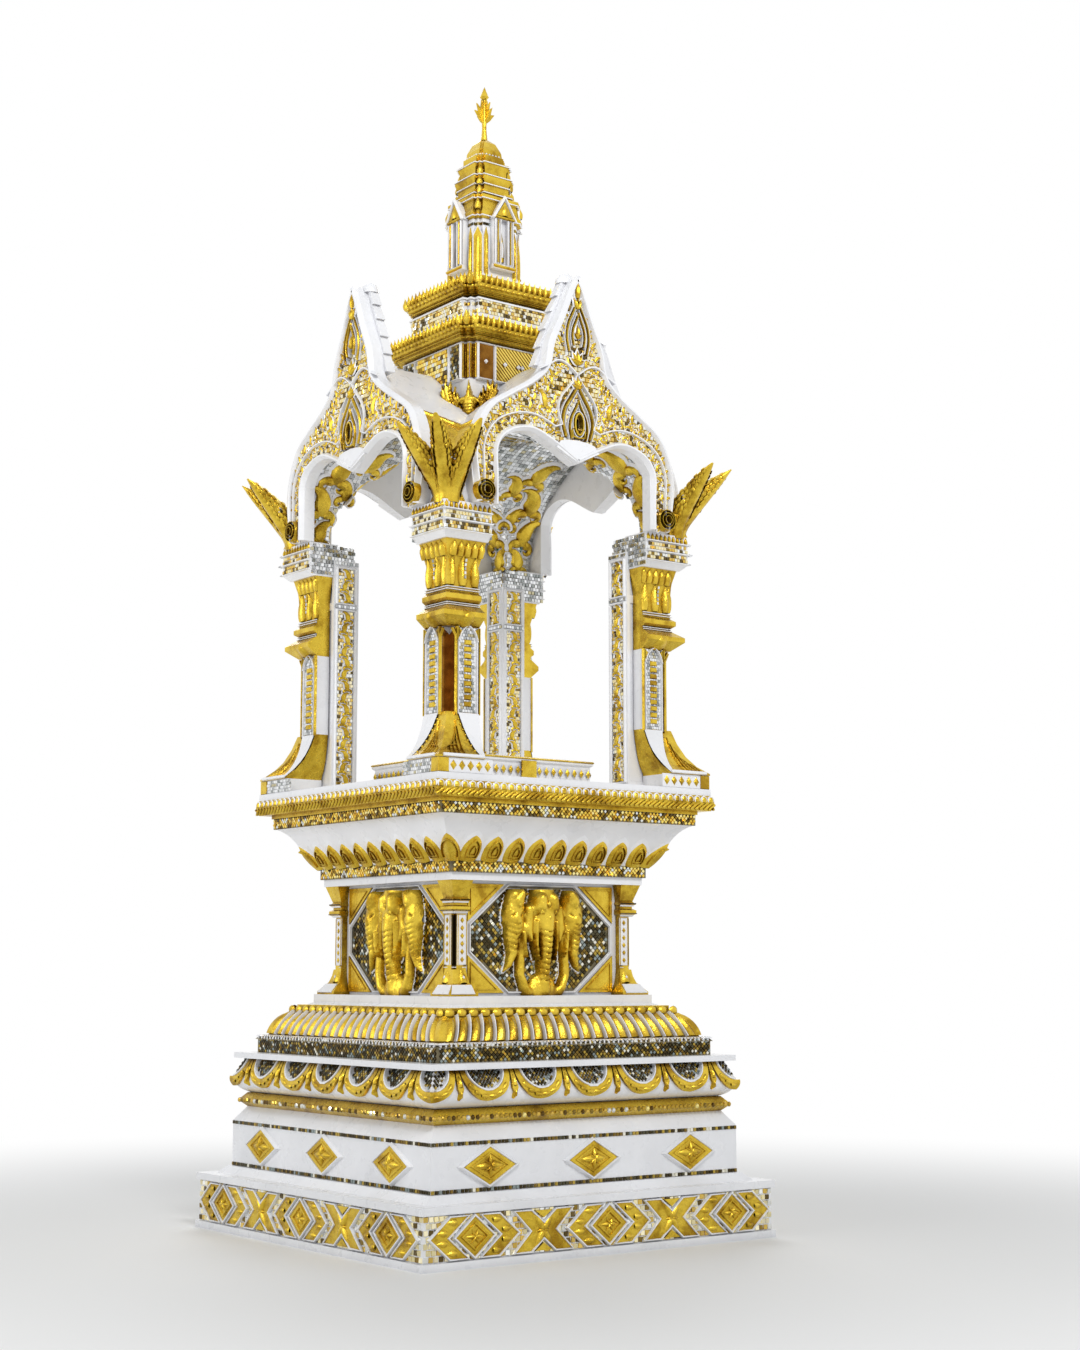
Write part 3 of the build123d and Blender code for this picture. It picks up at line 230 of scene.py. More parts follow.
def directions(path, closed):
    """Unit vectors across a flat path, long at the corners so that the sides stay parallel."""
    ahead = np.roll(path, -1, 0) - path
    if not closed:
        ahead[-1] = ahead[-2]
    ahead /= np.maximum(np.linalg.norm(ahead, axis=1), 1e-9)[:, None]
    behind = np.roll(ahead, 1, 0)
    if not closed:
        behind[0] = ahead[0]
    left = np.c_[-ahead[:, 1], ahead[:, 0]]
    both = left + np.c_[-behind[:, 1], behind[:, 0]]
    return both / np.maximum((both * left).sum(1), 0.5)[:, None]


def swept(path, section, widths, heights, closed=False, mitred=False):
    """A section carried along a flat path. Its points are shares of each spot's width and height."""
    across = directions(path, closed)
    if not mitred:
        across /= np.linalg.norm(across, axis=1)[:, None]
    points = np.array([(*(p + a * share * w), rise * h) for p, a, w, h in zip(path, across, widths, heights)
                       for share, rise in section])
    sides, last = len(section), (len(path) - 1) * len(section)
    faces = tube_faces(len(path), sides)
    if closed:
        return points, faces + [(last + c, last + (c + 1) % sides, (c + 1) % sides, c) for c in range(sides)]
    return points, faces + [tuple(range(sides))[::-1], tuple(range(last, last + sides))]


def bar(path, width, rise, closed=False, bevel=0.3):
    """A strip with bevelled edges along a flat path, with mitred corners."""
    section = ((-0.5, 0), (-0.5 + bevel, 1), (0.5 - bevel, 1), (0.5, 0))
    return swept(np.array(path, float), section, [width] * len(path), [rise] * len(path), closed, True)


def stroke(path, widths, rise):
    """A half-round stroke of changing width along a flat path, such as a scroll or a leaf."""
    widths = np.maximum(np.array(widths, float), 0.02 * max(widths))
    section = ((-0.5, 0), (-0.36, 0.7), (0, 1), (0.36, 0.7), (0.5, 0))
    return swept(np.array(path, float), section, widths, rise * (widths / widths.max()) ** 0.6)


def rod(path, widths, thick, sides):
    """A tapering body of oval section along a flat path."""
    widths = np.maximum(np.array(widths, float), 0.03 * max(widths))
    section = [(0.5 * cos(a), sin(a)) for a in np.linspace(0, 2 * pi, sides, endpoint=False)]
    return swept(np.array(path, float), section, widths, 0.5 * thick * (widths / widths.max()) ** 0.6)


def curl(length, turn, power, count):
    """A path that starts up and turns ever more tightly, to the right for a positive turn."""
    share = np.linspace(0, 1, count)
    heading = pi / 2 - radians(turn) * share ** power
    steps = np.c_[np.cos(heading), np.sin(heading)] * length / (count - 1)
    return np.cumsum(steps, 0) - steps[0]


def taper(count, belly=0.35, start=0.35):
    """Widths of a flame: narrow at its foot, widest at the belly and pointed at the tip."""
    share = np.linspace(0, 1, count)
    rise = start + (1 - start) * np.sin(np.clip(share / belly, 0, 1) * pi / 2)
    fall = np.clip((1 - share) / (1 - belly), 0, 1) ** 0.8
    return rise * fall


def spun(path2d, x=0.0, y=0.0, turn=0.0):
    """A flat path turned to the left by degrees and moved."""
    a = radians(turn)
    return np.array(path2d) @ np.array([[cos(a), sin(a)], [-sin(a), cos(a)]]) + (x, y)


def flame(size, swell=1.0, edge=0.0, count=9):
    """A flame: a leaning tongue with a curled tip, and a curl on each side of its foot. An edge widens it."""
    rise = 1.0 if not edge else 0.55
    parts = []
    for length, turn, power, x, lean, width, height, belly, start in (
            (1.0, 120, 2.4, 0, 0, 0.36, 0.16, 0.35, 0.35), (0.62, -290, 1.5, -0.05, 42, 0.2, 0.12, 0.2, 0.6),
            (0.6, 300, 1.5, 0.05, -58, 0.2, 0.12, 0.2, 0.6)):
        path = spun(curl((length + edge) * size, turn, power, count), x * size, 0, lean)
        widths = (taper(count, belly, start) * width * swell + 1.6 * edge) * size
        parts.append(stroke(path, widths, height * rise * size))
    return joined(*parts)


def petal(width, height, rise, shape, rib=0.0, rows=9, across=7):
    """A petal that swells in the middle. Shape gives its half width from foot to tip."""
    up = np.linspace(0, 1, rows)
    half = shape(up) * width / 2
    side = np.linspace(-1, 1, across)
    swell = np.sqrt(np.clip(1 - side ** 2, 0, 1))
    points = []
    for t, w in zip(up, half):
        depth = rise * min(1.0, 2.5 * w / width) * (0.35 + 0.65 * sin(pi * min(1, 0.25 + 0.75 * t)))
        ridge = rib * (1 - np.abs(side)) ** 3 * w / width
        points += [(s * w, t * height, depth * z + r) for s, z, r in zip(side, swell, ridge)]
    faces = grid_faces(rows, across)
    rim = ([r * across for r in range(rows)][::-1] + list(range(1, across))
           + [r * across + across - 1 for r in range(1, rows)]
           + [(rows - 1) * across + c for c in range(across - 2, 0, -1)])
    return np.array(points), faces + [tuple(rim)]


def ogee(t):
    """Half width of a flame-shaped leaf, from foot to tip."""
    return np.clip(np.sin(pi * (0.2 + 0.8 * t)) ** 0.9 * (1 - 0.35 * t), 0.01, 1)


def tongue(t):
    """Half width of a round-ended petal, from foot to tip."""
    return np.sqrt(np.clip(1 - t ** 3.5, 0.0004, 1))


def block(width, height, depth, share=0.86, corners=((-0.5, -0.5), (0.5, -0.5), (0.5, 0.5), (-0.5, 0.5))):
    """A tile: a flat block whose front is a share of its back."""
    points = [(x * width * s, y * height * s, z) for s, z in ((1, 0), (share, depth)) for x, y in corners]
    faces = [(3, 2, 1, 0), (4, 5, 6, 7)] + [(c, (c + 1) % 4, 4 + (c + 1) % 4, 4 + c) for c in range(4)]
    return np.array(points, float), faces


def diamond(width, height, depth, share=0.55):
    """A tile that stands on its corner."""
    return block(width, height, depth, share, ((-0.5, 0), (0, -0.5), (0.5, 0), (0, 0.5)))


def ball(width, height, depth, around=10, rings=4):
    """A flattened half ball on its back."""
    points = []
    for r in range(rings):
        a = 0.5 * pi * r / rings
        points += [(0.5 * width * cos(a) * cos(b), 0.5 * height * cos(a) * sin(b),
                    depth * sin(a)) for b in np.linspace(0, 2 * pi, around, endpoint=False)]
    faces = tube_faces(rings, around)
    points.append((0, 0, depth))
    last = (rings - 1) * around
    faces += [(last + c, last + (c + 1) % around, len(points) - 1) for c in range(around)]
    return np.array(points), faces + [tuple(range(around - 1, -1, -1))]


def smooth_path(corners, count=8):
    """A smooth flat path through the corners, with count steps from one corner to the next."""
    corners = np.array(corners, float)
    ends = np.vstack([2 * corners[0] - corners[1], corners, 2 * corners[-1] - corners[-2]])
    path = []
    for a, b, c, d in zip(ends, ends[1:], ends[2:], ends[3:]):
        for t in np.linspace(0, 1, count, endpoint=False):
            path.append(0.5 * (2 * b + (c - a) * t + (2 * a - 5 * b + 4 * c - d) * t ** 2
                               + (3 * b - a - 3 * c + d) * t ** 3))
    return np.array(path + [corners[-1]])


def run_of(path):
    """The way along a flat path at each of its points."""
    return np.r_[0, np.cumsum(np.linalg.norm(np.diff(path, axis=0), axis=1))]


def beside(path, run, at, reach):
    """A flat path at a reach before a way along it, there, and at a reach after."""
    return [np.array([np.interp(at + step, run, axis) for axis in path.T]).T for step in (-reach, 0, reach)]


def evenly(path, pitch):
    """Points and headings in degrees along a flat path, one for each pitch."""
    run = run_of(path)
    count = max(1, round(run[-1] / pitch))
    before, here, after = beside(path, run, (np.arange(count) + 0.5) * run[-1] / count, 0.5)
    return here, np.degrees(np.arctan2(*(after - before).T[::-1]))


def within(x, y, outline):
    """Whether a point is inside a flat outline."""
    inside = False
    for (ax, ay), (bx, by) in zip(outline, np.roll(outline, -1, 0)):
        if (ay > y) != (by > y) and x < (bx - ax) * (y - ay) / (by - ay) + ax:
            inside = not inside
    return inside


def skin(*nodes):
    """The surface of CAD nodes, for forms to be laid on, in millimetres."""
    points, faces = [], []
    for node in nodes:
        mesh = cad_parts[node].data
        start = len(points)
        points += [v.co / MM for v in mesh.vertices]
        faces += [[start + i for i in p.vertices] for p in mesh.polygons]
    return BVHTree.FromPolygons(points, faces)


def laid(shape, surface, level=0.0, x=0.0):
    """A flat form laid on a front surface: its x and y are read straight from the front, z stands off it."""
    points, faces = shape
    placed = []
    for u, v, rise in points:
        hit = None
        # A point past an edge is drawn back, in or out, until the surface is behind it
        for step in range(180):
            seen = u + x + copysign((step + 1) // 2, -(u + x) if step % 2 else u + x)
            hit, normal, _, _ = surface.ray_cast(Vector((seen, -FAR, v + level)), Vector((0, 1, 0)))
            if hit is not None:
                break
        if hit is None:
            raise RuntimeError(f"nothing lies behind {u + x:.0f}, {v + level:.0f}")
        placed.append(hit + (normal if normal.y < 0 else -normal) * rise)
    return np.array(placed), faces


def front_of(surface, x, level):
    """Where a front surface stands at a point, and how far its top leans forward, in degrees."""
    hit, normal, _, _ = surface.ray_cast(Vector((x, -FAR, level)), Vector((0, 1, 0)))
    if hit is None:
        raise RuntimeError(f"nothing lies behind {x:.0f}, {level:.0f}")
    return -hit.y, degrees(asin(max(-1, min(1, -normal.z))))


def seat_on(surface, x, level, sink=0.0):
    """The frame of a front surface at a point, sunk a little into it."""
    half, lean = front_of(surface, x, level)
    return wall(half - sink, level, lean, x)


# Pieces: forms made meshes and tied to the frame


def looks(look):
    """The material of a look and the slot that it shows."""
    if look in TILE_TINTS_AND_REFLECTIONS:
        return mirror_finish(look), "mirror_mosaic"
    make, slot = {"gold": (gold_finish, "gold_paint"), "white": (white_finish, "white_paint"),
                  "amber": (amber_finish, "mirror_mosaic")}[look]
    return make(), slot


def shown(name, mesh):
    """A new object in the scene."""
    piece = bpy.data.objects.new(name, mesh)
    bpy.context.scene.collection.objects.link(piece)
    return piece


def keep(piece, nodes):
    """Ties a finished piece to the frame and hides the nodes that it stands for."""
    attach(piece, "root")
    if nodes:
        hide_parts(*nodes)


def mesh_of(name, shape, smooth=38):
    """A form as a mesh in metres, faces outward, smooth up to an angle."""
    points, faces = shape
    mesh = bpy.data.meshes.new(name)
    mesh.from_pydata((points * MM).tolist(), [], faces)
    edit = bmesh.new()
    edit.from_mesh(mesh)
    bmesh.ops.recalc_face_normals(edit, faces=edit.faces)
    edit.to_mesh(mesh)
    edit.free()
    mesh.shade_smooth()
    mesh.set_sharp_from_angle(angle=radians(smooth))
    return mesh


def carved(name, forms, look, seat=None, sides=SIDES, nodes=(), smooth=38, tint=0.0):
    """A piece of front forms in one seat, repeated on the sides. One of mirror glass has one tint and painted
    reflection.
    """
    finish, slot = looks(look)
    front = joined(*forms)
    if seat:
        front = moved(front, seat)
    mesh = mesh_of(name, on_sides(front, sides), smooth)
    mesh.materials.append(finish)
    if look in TILE_TINTS_AND_REFLECTIONS:
        shades = mesh.attributes.new("tint", "FLOAT", "POINT")
        shades.data.foreach_set("value", [tint] * len(mesh.vertices))
    keep(shown(name, mesh), nodes)


def copies_tree():
    """Node tree that sets a motif on points, by the turn and size that each point carries."""
    if "copies" in bpy.data.node_groups:
        return bpy.data.node_groups["copies"]
    tree = bpy.data.node_groups.new("copies", "GeometryNodeTree")
    for label, kind in (("Places", "Geometry"), ("Motif", "Object"), ("Tilt", "Float"), ("Seed", "Int"),
                        ("Finish", "Material")):
        tree.interface.new_socket(label, in_out="INPUT", socket_type="NodeSocket" + kind)
    tree.interface.new_socket("Copies", in_out="OUTPUT", socket_type="NodeSocketGeometry")
    given = node(tree, "NodeGroupInput").outputs
    turn, size = (node(tree, "GeometryNodeInputNamedAttribute", {"Name": name}, data_type="FLOAT_VECTOR")
                  for name in ("turn", "size"))
    motif = node(tree, "GeometryNodeObjectInfo", {"Object": given["Motif"]}).outputs["Geometry"]
    upright = node(tree, "FunctionNodeEulerToRotation", {"Euler": turn})
    placed = node(tree, "GeometryNodeInstanceOnPoints", {
        "Points": given["Places"], "Instance": motif, "Rotation": upright, "Scale": size})
    # Each copy leans by its own small amount, as hand-set tiles do
    lowest = node(tree, "ShaderNodeMath", {0: given["Tilt"], 1: -1}, operation="MULTIPLY")
    lean = node(tree, "FunctionNodeRandomValue", {0: lowest, 1: given["Tilt"], "Seed": given["Seed"]},
                data_type="FLOAT_VECTOR")
    leaning = node(tree, "GeometryNodeRotateInstances", {
        "Instances": placed, "Rotation": node(tree, "FunctionNodeEulerToRotation", {"Euler": lean})})
    # Each copy has its own tint and painted reflection, which the mirror finish reads
    tints_and_reflections = node(tree, "FunctionNodeRandomValue", {"Seed": given["Seed"]}, data_type="FLOAT").outputs
    tint = next(o for o in tints_and_reflections if o.enabled and o.type == "VALUE")
    stored = node(tree, "GeometryNodeStoreNamedAttribute", {
        "Geometry": leaning, "Name": "tint", "Value": tint}, data_type="FLOAT", domain="INSTANCE")
    real = node(tree, "GeometryNodeRealizeInstances", {"Geometry": stored})
    painted = node(tree, "GeometryNodeSetMaterial", {"Geometry": real, "Material": given["Finish"]})
    node(tree, "NodeGroupOutput", {"Copies": painted})
    return tree


def copies(name, shape, places, look, sides=SIDES, tilt=0.0, seed=1, nodes=()):
    """A form on many front places, repeated on the sides. A place is a matrix in millimetres, or a matrix
    and a size."""
    places = [place if isinstance(place, tuple) else (place, (1, 1, 1)) for place in places]
    places = [(quarter(k) @ matrix, size) for k in range(sides) for matrix, size in places]
    finish, slot = looks(look)
    motif = shown("motif", mesh_of("motif", shape))
    cloud = bpy.data.meshes.new(name)
    cloud.from_pydata([matrix.translation * MM for matrix, _ in places], [], [])
    turn = cloud.attributes.new("turn", "FLOAT_VECTOR", "POINT")
    size = cloud.attributes.new("size", "FLOAT_VECTOR", "POINT")
    turn.data.foreach_set("vector", [a for matrix, _ in places for a in matrix.to_euler()])
    size.data.foreach_set("vector", [a for _, scale in places for a in scale])
    piece = shown(name, cloud)
    grower = piece.modifiers.new("copies", "NODES")
    grower.node_group = copies_tree()
    given = {"Motif": motif, "Tilt": tilt, "Seed": seed, "Finish": finish}
    for item in grower.node_group.interface.items_tree:
        if item.name in given:
            grower[item.identifier] = given[item.name]
    piece.data = bpy.data.meshes.new_from_object(piece.evaluated_get(bpy.context.evaluated_depsgraph_get()))
    piece.data.name = name
    piece.modifiers.remove(grower)
    bpy.data.objects.remove(motif)
    keep(piece, nodes)


def scroll_pair(name, gold, white, right, left, sides=SIDES):
    """Gold scrolls with white edges: as drawn on the places to the right, and mirrored on the left ones."""
    for side, places in (("right", right), ("left", left)):
        if side == "left":
            gold, white = flipped(gold), flipped(white)
        copies(f"{name}_scrolls_{side}", gold, places, "gold", sides)
        copies(f"{name}_scroll_edges_{side}", white, places, "white", sides)


def tiles(face, width, height, pitch_x, pitch_y):
    """Places of tiles in a rectangle about a frame's origin, every other row shifted by half a tile."""
    across, up = max(1, round(width / pitch_x)), max(1, round(height / pitch_y))
    return [face @ to((column + 0.5 + 0.5 * (row % 2) - across / 2) * width / across,
                      (row + 0.5 - up / 2) * height / up)
            for row in range(up) for column in range(across - row % 2)]


def staggered(rows, columns, pitch_x, pitch_y):
    """Flat spots in rows, every other row shifted by half a pitch."""
    return [((column + 0.5 * (row % 2)) * pitch_x, row * pitch_y) for row in rows for column in columns]


# Finishes


def node(tree, kind, inputs=None, **settings):
    """A new node. Each of its inputs is given a constant, an output, or a node for its first output."""
    made = tree.nodes.new(kind)
    for name, value in settings.items():
        setattr(made, name, value)
    for socket, value in (inputs or {}).items():
        if isinstance(value, bpy.types.Node):
            value = value.outputs[0]
        if isinstance(value, bpy.types.NodeSocket):
            tree.links.new(value, made.inputs[socket])
        else:
            made.inputs[socket].default_value = value
    return made


def noise(tree, scale, detail=3.0, roughness=0.5):
    """A noise on Object coordinates."""
    spot = node(tree, "ShaderNodeTexCoord").outputs["Object"]
    return node(tree, "ShaderNodeTexNoise", {
        "Scale": scale, "Detail": detail, "Roughness": roughness, "Vector": spot})


def ramp(tree, value, stops, steps=False):
    """A colour ramp over a value, with plain steps or a smooth run."""
    made = node(tree, "ShaderNodeValToRGB", {"Fac": value})
    made.color_ramp.interpolation = "CONSTANT" if steps else "LINEAR"
    colours = made.color_ramp.elements
    while len(colours) < len(stops):
        colours.new(0.5)
    for element, (place, colour) in zip(colours, stops):
        element.position = place
        element.color = (*colour, 1)
    return made.outputs["Color"]


def hollows(tree, reach):
    """How open a spot is: 1 on open faces, less in the hollows. The gold and white finishes paint shade with
    it.
    """
    return node(tree, "ShaderNodeAmbientOcclusion", {"Distance": reach}, samples=4).outputs["AO"]


def tinted(tree, one, other):
    """One colour multiplied by another."""
    return node(tree, "ShaderNodeMix", {"Factor": 1.0, 6: one, 7: other}, data_type="RGBA",
                blend_type="MULTIPLY").outputs[2]


def shader(name):
    """A new material, its node tree and its main shader."""
    material = bpy.data.materials.new(name)
    material.use_nodes = True
    return material, material.node_tree, material.node_tree.nodes["Principled BSDF"]


def finish(name, colour, shine, waves, **constants):
    """A material, made once. Colour makes its base colour in a tree, shine is a noise and the range of
    the roughness, and waves is a noise with the strength and depth of the bump."""
    if name in bpy.data.materials:
        return bpy.data.materials[name]
    material, tree, main = shader(name)
    grain, low, high = shine
    rough = node(tree, "ShaderNodeMapRange", {"To Min": low, "To Max": high, "Value": noise(tree, *grain)})
    grain, strength, depth = waves
    bump = node(tree, "ShaderNodeBump", {
        "Strength": strength, "Distance": depth, "Height": noise(tree, *grain)})
    tree.links.new(colour(tree), main.inputs["Base Color"])
    tree.links.new(rough.outputs["Result"], main.inputs["Roughness"])
    tree.links.new(bump.outputs["Normal"], main.inputs["Normal"])
    for socket, value in constants.items():
        main.inputs[socket.replace("_", " ")].default_value = value
    return material


def gold_finish():
    """Bright gold paint: glossy, with painted shade in deep amber in the hollows of the carving, and uneven
    with patches of painted reflection.
    """
    def colour(tree):
        paints = bpy.context.scene.shrine_colours
        # Painted shade: the gold darkens in the hollows of the carving
        deep = tuple(0.3 * c for c in paints.gold_painted_shade)
        coats_and_painted_shade = ramp(tree, hollows(tree, 0.02), (
            (0.12, deep), (0.48, paints.gold_painted_shade), (0.86, paints.gold)))
        # Patches of painted reflection: a noise makes the gold darker and lighter, as metal reflecting uneven
        # surroundings looks
        return tinted(tree, coats_and_painted_shade, ramp(tree, noise(tree, 15, 6, 0.66), (
            (0.36, (0.5, 0.41, 0.24)), (0.47, (0.84, 0.8, 0.66)), (0.58, (1, 1, 1)))))
    return finish("bright_gold", colour, ((55, 3), 0.16, 0.4), ((100, 4, 0.65), 0.55, 0.003),
                  Metallic=0.9, Specular_IOR_Level=0.6)


def white_finish():
    """Gloss white paint, with the faint waves of brushed coats and painted shade, greyer in the corners."""
    def colour(tree):
        white = bpy.context.scene.shrine_colours.white
        coats_and_painted_shade = ramp(tree, noise(tree, 6, 4, 0.6), ((0.35, tuple(0.92 * c for c in white)), (0.6, white)))
        # Painted shade: the white turns grey in the hollows
        painted_shade = ((0.2, (0.62, 0.62, 0.64)), (0.75, (1, 1, 1)))
        return tinted(tree, coats_and_painted_shade, ramp(tree, hollows(tree, 0.03), painted_shade))
    return finish("gloss_white", colour, ((30, 3), 0.2, 0.38), ((45, 3), 0.12, 0.002),
                  Coat_Weight=0.25, Coat_Roughness=0.12)


# Ramps of tile colours: the glass's own tints, with dark and bright steps that are painted reflection of the
# surroundings and pale grey steps that are painted glints
TILE_TINTS_AND_REFLECTIONS = {
    "amber_mirror": ((0, (0.42, 0.27, 0.04)), (0.2, (0.12, 0.07, 0.018)), (0.36, (0.6, 0.4, 0.08)),
                     (0.55, (0.24, 0.16, 0.035)), (0.7, (0.66, 0.66, 0.6)), (0.8, (0.45, 0.31, 0.05)),
                     (0.93, (0.85, 0.72, 0.26))),
    "dark_mirror": ((0, (0.06, 0.045, 0.02)), (0.3, (0.2, 0.13, 0.03)), (0.5, (0.09, 0.08, 0.045)),
                    (0.66, (0.42, 0.3, 0.06)), (0.8, (0.26, 0.3, 0.29)), (0.92, (0.74, 0.72, 0.62))),
    "gold_mirror": ((0, (0.78, 0.52, 0.07)), (0.24, (0.34, 0.21, 0.03)), (0.42, (0.88, 0.68, 0.16)),
                    (0.62, (0.13, 0.085, 0.025)), (0.75, (0.72, 0.74, 0.72)), (0.87, (0.93, 0.8, 0.34))),
    "green_mirror": ((0, (0.03, 0.14, 0.12)), (0.3, (0.1, 0.32, 0.3)), (0.5, (0.02, 0.06, 0.06)),
                     (0.7, (0.2, 0.42, 0.4)), (0.85, (0.55, 0.62, 0.6))),
    "pale_mirror": ((0, (0.86, 0.76, 0.44)), (0.26, (0.72, 0.5, 0.12)), (0.45, (0.84, 0.85, 0.82)),
                    (0.62, (0.3, 0.2, 0.045)), (0.7, (0.9, 0.82, 0.56)), (0.88, (0.14, 0.1, 0.04))),
    "silver_mirror": ((0, (0.66, 0.67, 0.66)), (0.25, (0.45, 0.46, 0.46)), (0.45, (0.8, 0.81, 0.82)),
                      (0.65, (0.34, 0.36, 0.35)), (0.78, (0.86, 0.87, 0.88)), (0.93, (0.55, 0.5, 0.33))),
}


def mirror_finish(name):
    """Mirror glass in cut tiles: each tile takes its own step of the ramp, the glass's tint with painted
    reflection in the dark and bright steps.
    """
    def colour(tree):
        tint = node(tree, "ShaderNodeAttribute", attribute_name="tint").outputs["Fac"]
        return ramp(tree, tint, TILE_TINTS_AND_REFLECTIONS[name], steps=True)
    return finish(name, colour, ((90, 2), 0.06, 0.2), ((60, 2), 0.08, 0.002), Metallic=1.0)


def bed_finish():
    """The dark bed that the tiles are set in, seen in the joints."""
    def colour(tree):
        return ramp(tree, noise(tree, 40, 4), ((0.3, (0.1, 0.085, 0.05)), (0.7, (0.3, 0.25, 0.14))))
    return finish("tile_bed", colour, ((80, 3), 0.35, 0.6), ((200, 3), 0.3, 0.001), Metallic=0.5)


def amber_finish():
    """Polished amber glass over gold, in whole panes."""
    def colour(tree):
        return ramp(tree, noise(tree, 26, 4), ((0.35, (0.2, 0.075, 0.01)), (0.65, (0.46, 0.22, 0.035))))
    return finish("amber_glass", colour, ((70, 3), 0.08, 0.22), ((60, 3), 0.15, 0.002), Metallic=0.85)


GOLD_NODES = (
    "plinth_lozenges", "block_diamonds", "rod_moulding", "garlands", "lotus_moulding", "dado_pilasters",
    "elephants", "cornice_petals", "deck_moulding", "column_feet", "column_rings", "column_capitals",
    "naga_heads", "garudas", "eaves", "eave_crests", "prang", "prang_cap", "finial")
BED_NODES = ("lower_mirror_band", "dado_mirrors", "mirror_friezes")


class SHRINE_OT_paint(bpy.types.Operator):
    """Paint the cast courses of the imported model"""
    bl_idname = "shrine.paint"
    bl_label = "Paint the castings"

    def execute(self, context):
        white, gold, bed = white_finish(), gold_finish(), bed_finish()
        for name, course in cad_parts.items():
            course.data.materials.clear()
            course.data.materials.append(gold if name in GOLD_NODES else bed if name in BED_NODES else white)
        return {"FINISHED"}


def lozenge(x, half, high):
    """Outline of a diamond on the middle line of a band."""
    return [(x - half, 0), (x, -high), (x + half, 0), (x, high)]


def chevrons(x):
    """Outlines of the two chevrons beside a lozenge of the plinth."""
    outlines = []
    for way in (-1, 1):
        near, far = x + way * CHEVRON_GAP, x + way * (CHEVRON_GAP + CHEVRON_WIDTH)
        tip, high = way * LOZENGE_HALF, LOZENGE_RISE
        outlines.append([(near, high), (near + tip, 0), (near, -high),
                         (far, -high), (far + tip, 0), (far, high)])
    return outlines


def rosette(x, leaves, share, rise, rib=2, rows=7, across=5):
    """Leaves spread about a spot. Each has a turn in degrees and a reach, and is a share as wide."""
    return joined(*(moved(petal(share * reach, reach, rise, ogee, rib, rows, across), to(x) @ turned(turn))
                    for turn, reach in leaves))


def star_outline(centre):
    """Outline of the star between two chevrons of the plinth's band."""
    high = LOZENGE_RISE
    half = [(-36, 0), (-82, -high), (-34, -high), (0, -17), (34, -high), (82, -high)]
    return np.array(half + [(-x, -y) for x, y in half]) + (centre, 0)


class SHRINE_OT_plinth(bpy.types.Operator):
    """Edge the lozenges of the plinth in white and tile the band between them"""
    bl_idname = "shrine.plinth"
    bl_label = "Plinth band"

    def execute(self, context):
        sizes = context.scene.shrine_sizes
        half = PLINTH_HALF - BAND_INSET
        middle = PLINTH_TOP / 2
        face, front = wall(half, middle), wall(half + 5, middle)
        centres, stars = (-LOZENGE_PITCH, 0, LOZENGE_PITCH), (-LOZENGE_PITCH / 2, LOZENGE_PITCH / 2)
        outlines, gold = [], []
        for x in centres:
            outlines += [lozenge(x, LOZENGE_HALF, LOZENGE_RISE), *chevrons(x)]
            leaves = ((-90, 25), (-30, 18), (30, 18), (90, 25), (150, 18), (210, 18))
            gold.append(moved(bar(lozenge(x, 34, 28), 6, 3.5, closed=True), front))
            gold.append(moved(rosette(x, leaves, 0.5, 4.5), front))
        for outline in [chevron for x in centres for chevron in chevrons(x)]:
            spine = (np.array(outline[:3]) + np.array(outline[5:2:-1])) / 2
            way = copysign(1, spine[1, 0] - spine[0, 0])
            for share in (0.14, 0.38, 0.62, 0.86):
                start, end, along = (*spine[:2], 2 * share) if share < 0.5 else (*spine[1:], 2 * share - 1)
                spot = start + (end - start) * along
                leaf = petal(17, 26, 4.5, ogee, rib=2, rows=7, across=5)
                gold.append(moved(leaf, to(spot[0] - 8 * way, spot[1]) @ turned(-90 * way), front))
        for x in stars:
            leaves = ((-33, 46), (33, 46), (147, 46), (213, 46), (0, 20), (180, 20), (-90, 20), (90, 20))
            gold.append(moved(rosette(x, leaves, 0.42, 5, rows=8, across=6), front))
            # Small carved pieces that fill the gaps over and under the star
            gold.append(moved(plate([(x - 24, -44), (x + 24, -44), (x, -27)], 6), face))
            gold.append(moved(plate([(x, 27), (x + 24, 44), (x - 24, 44)], 6), face))
        outlines += [star_outline(x) for x in stars]
        carved("plinth_edges", [bar(outline, 7, 8, closed=True) for outline in outlines], "white", face)
        carved("plinth_carving", gold, "gold")
        tile = sizes.tile / MM
        pitch = tile + sizes.joint / MM
        places = tiles(face, 2 * half, 2 * LOZENGE_RISE + 8, pitch, pitch)
        copies("plinth_tiles", block(tile, tile, 2), places, "pale_mirror", tilt=sizes.tilt, seed=11)
        return {"FINISHED"}


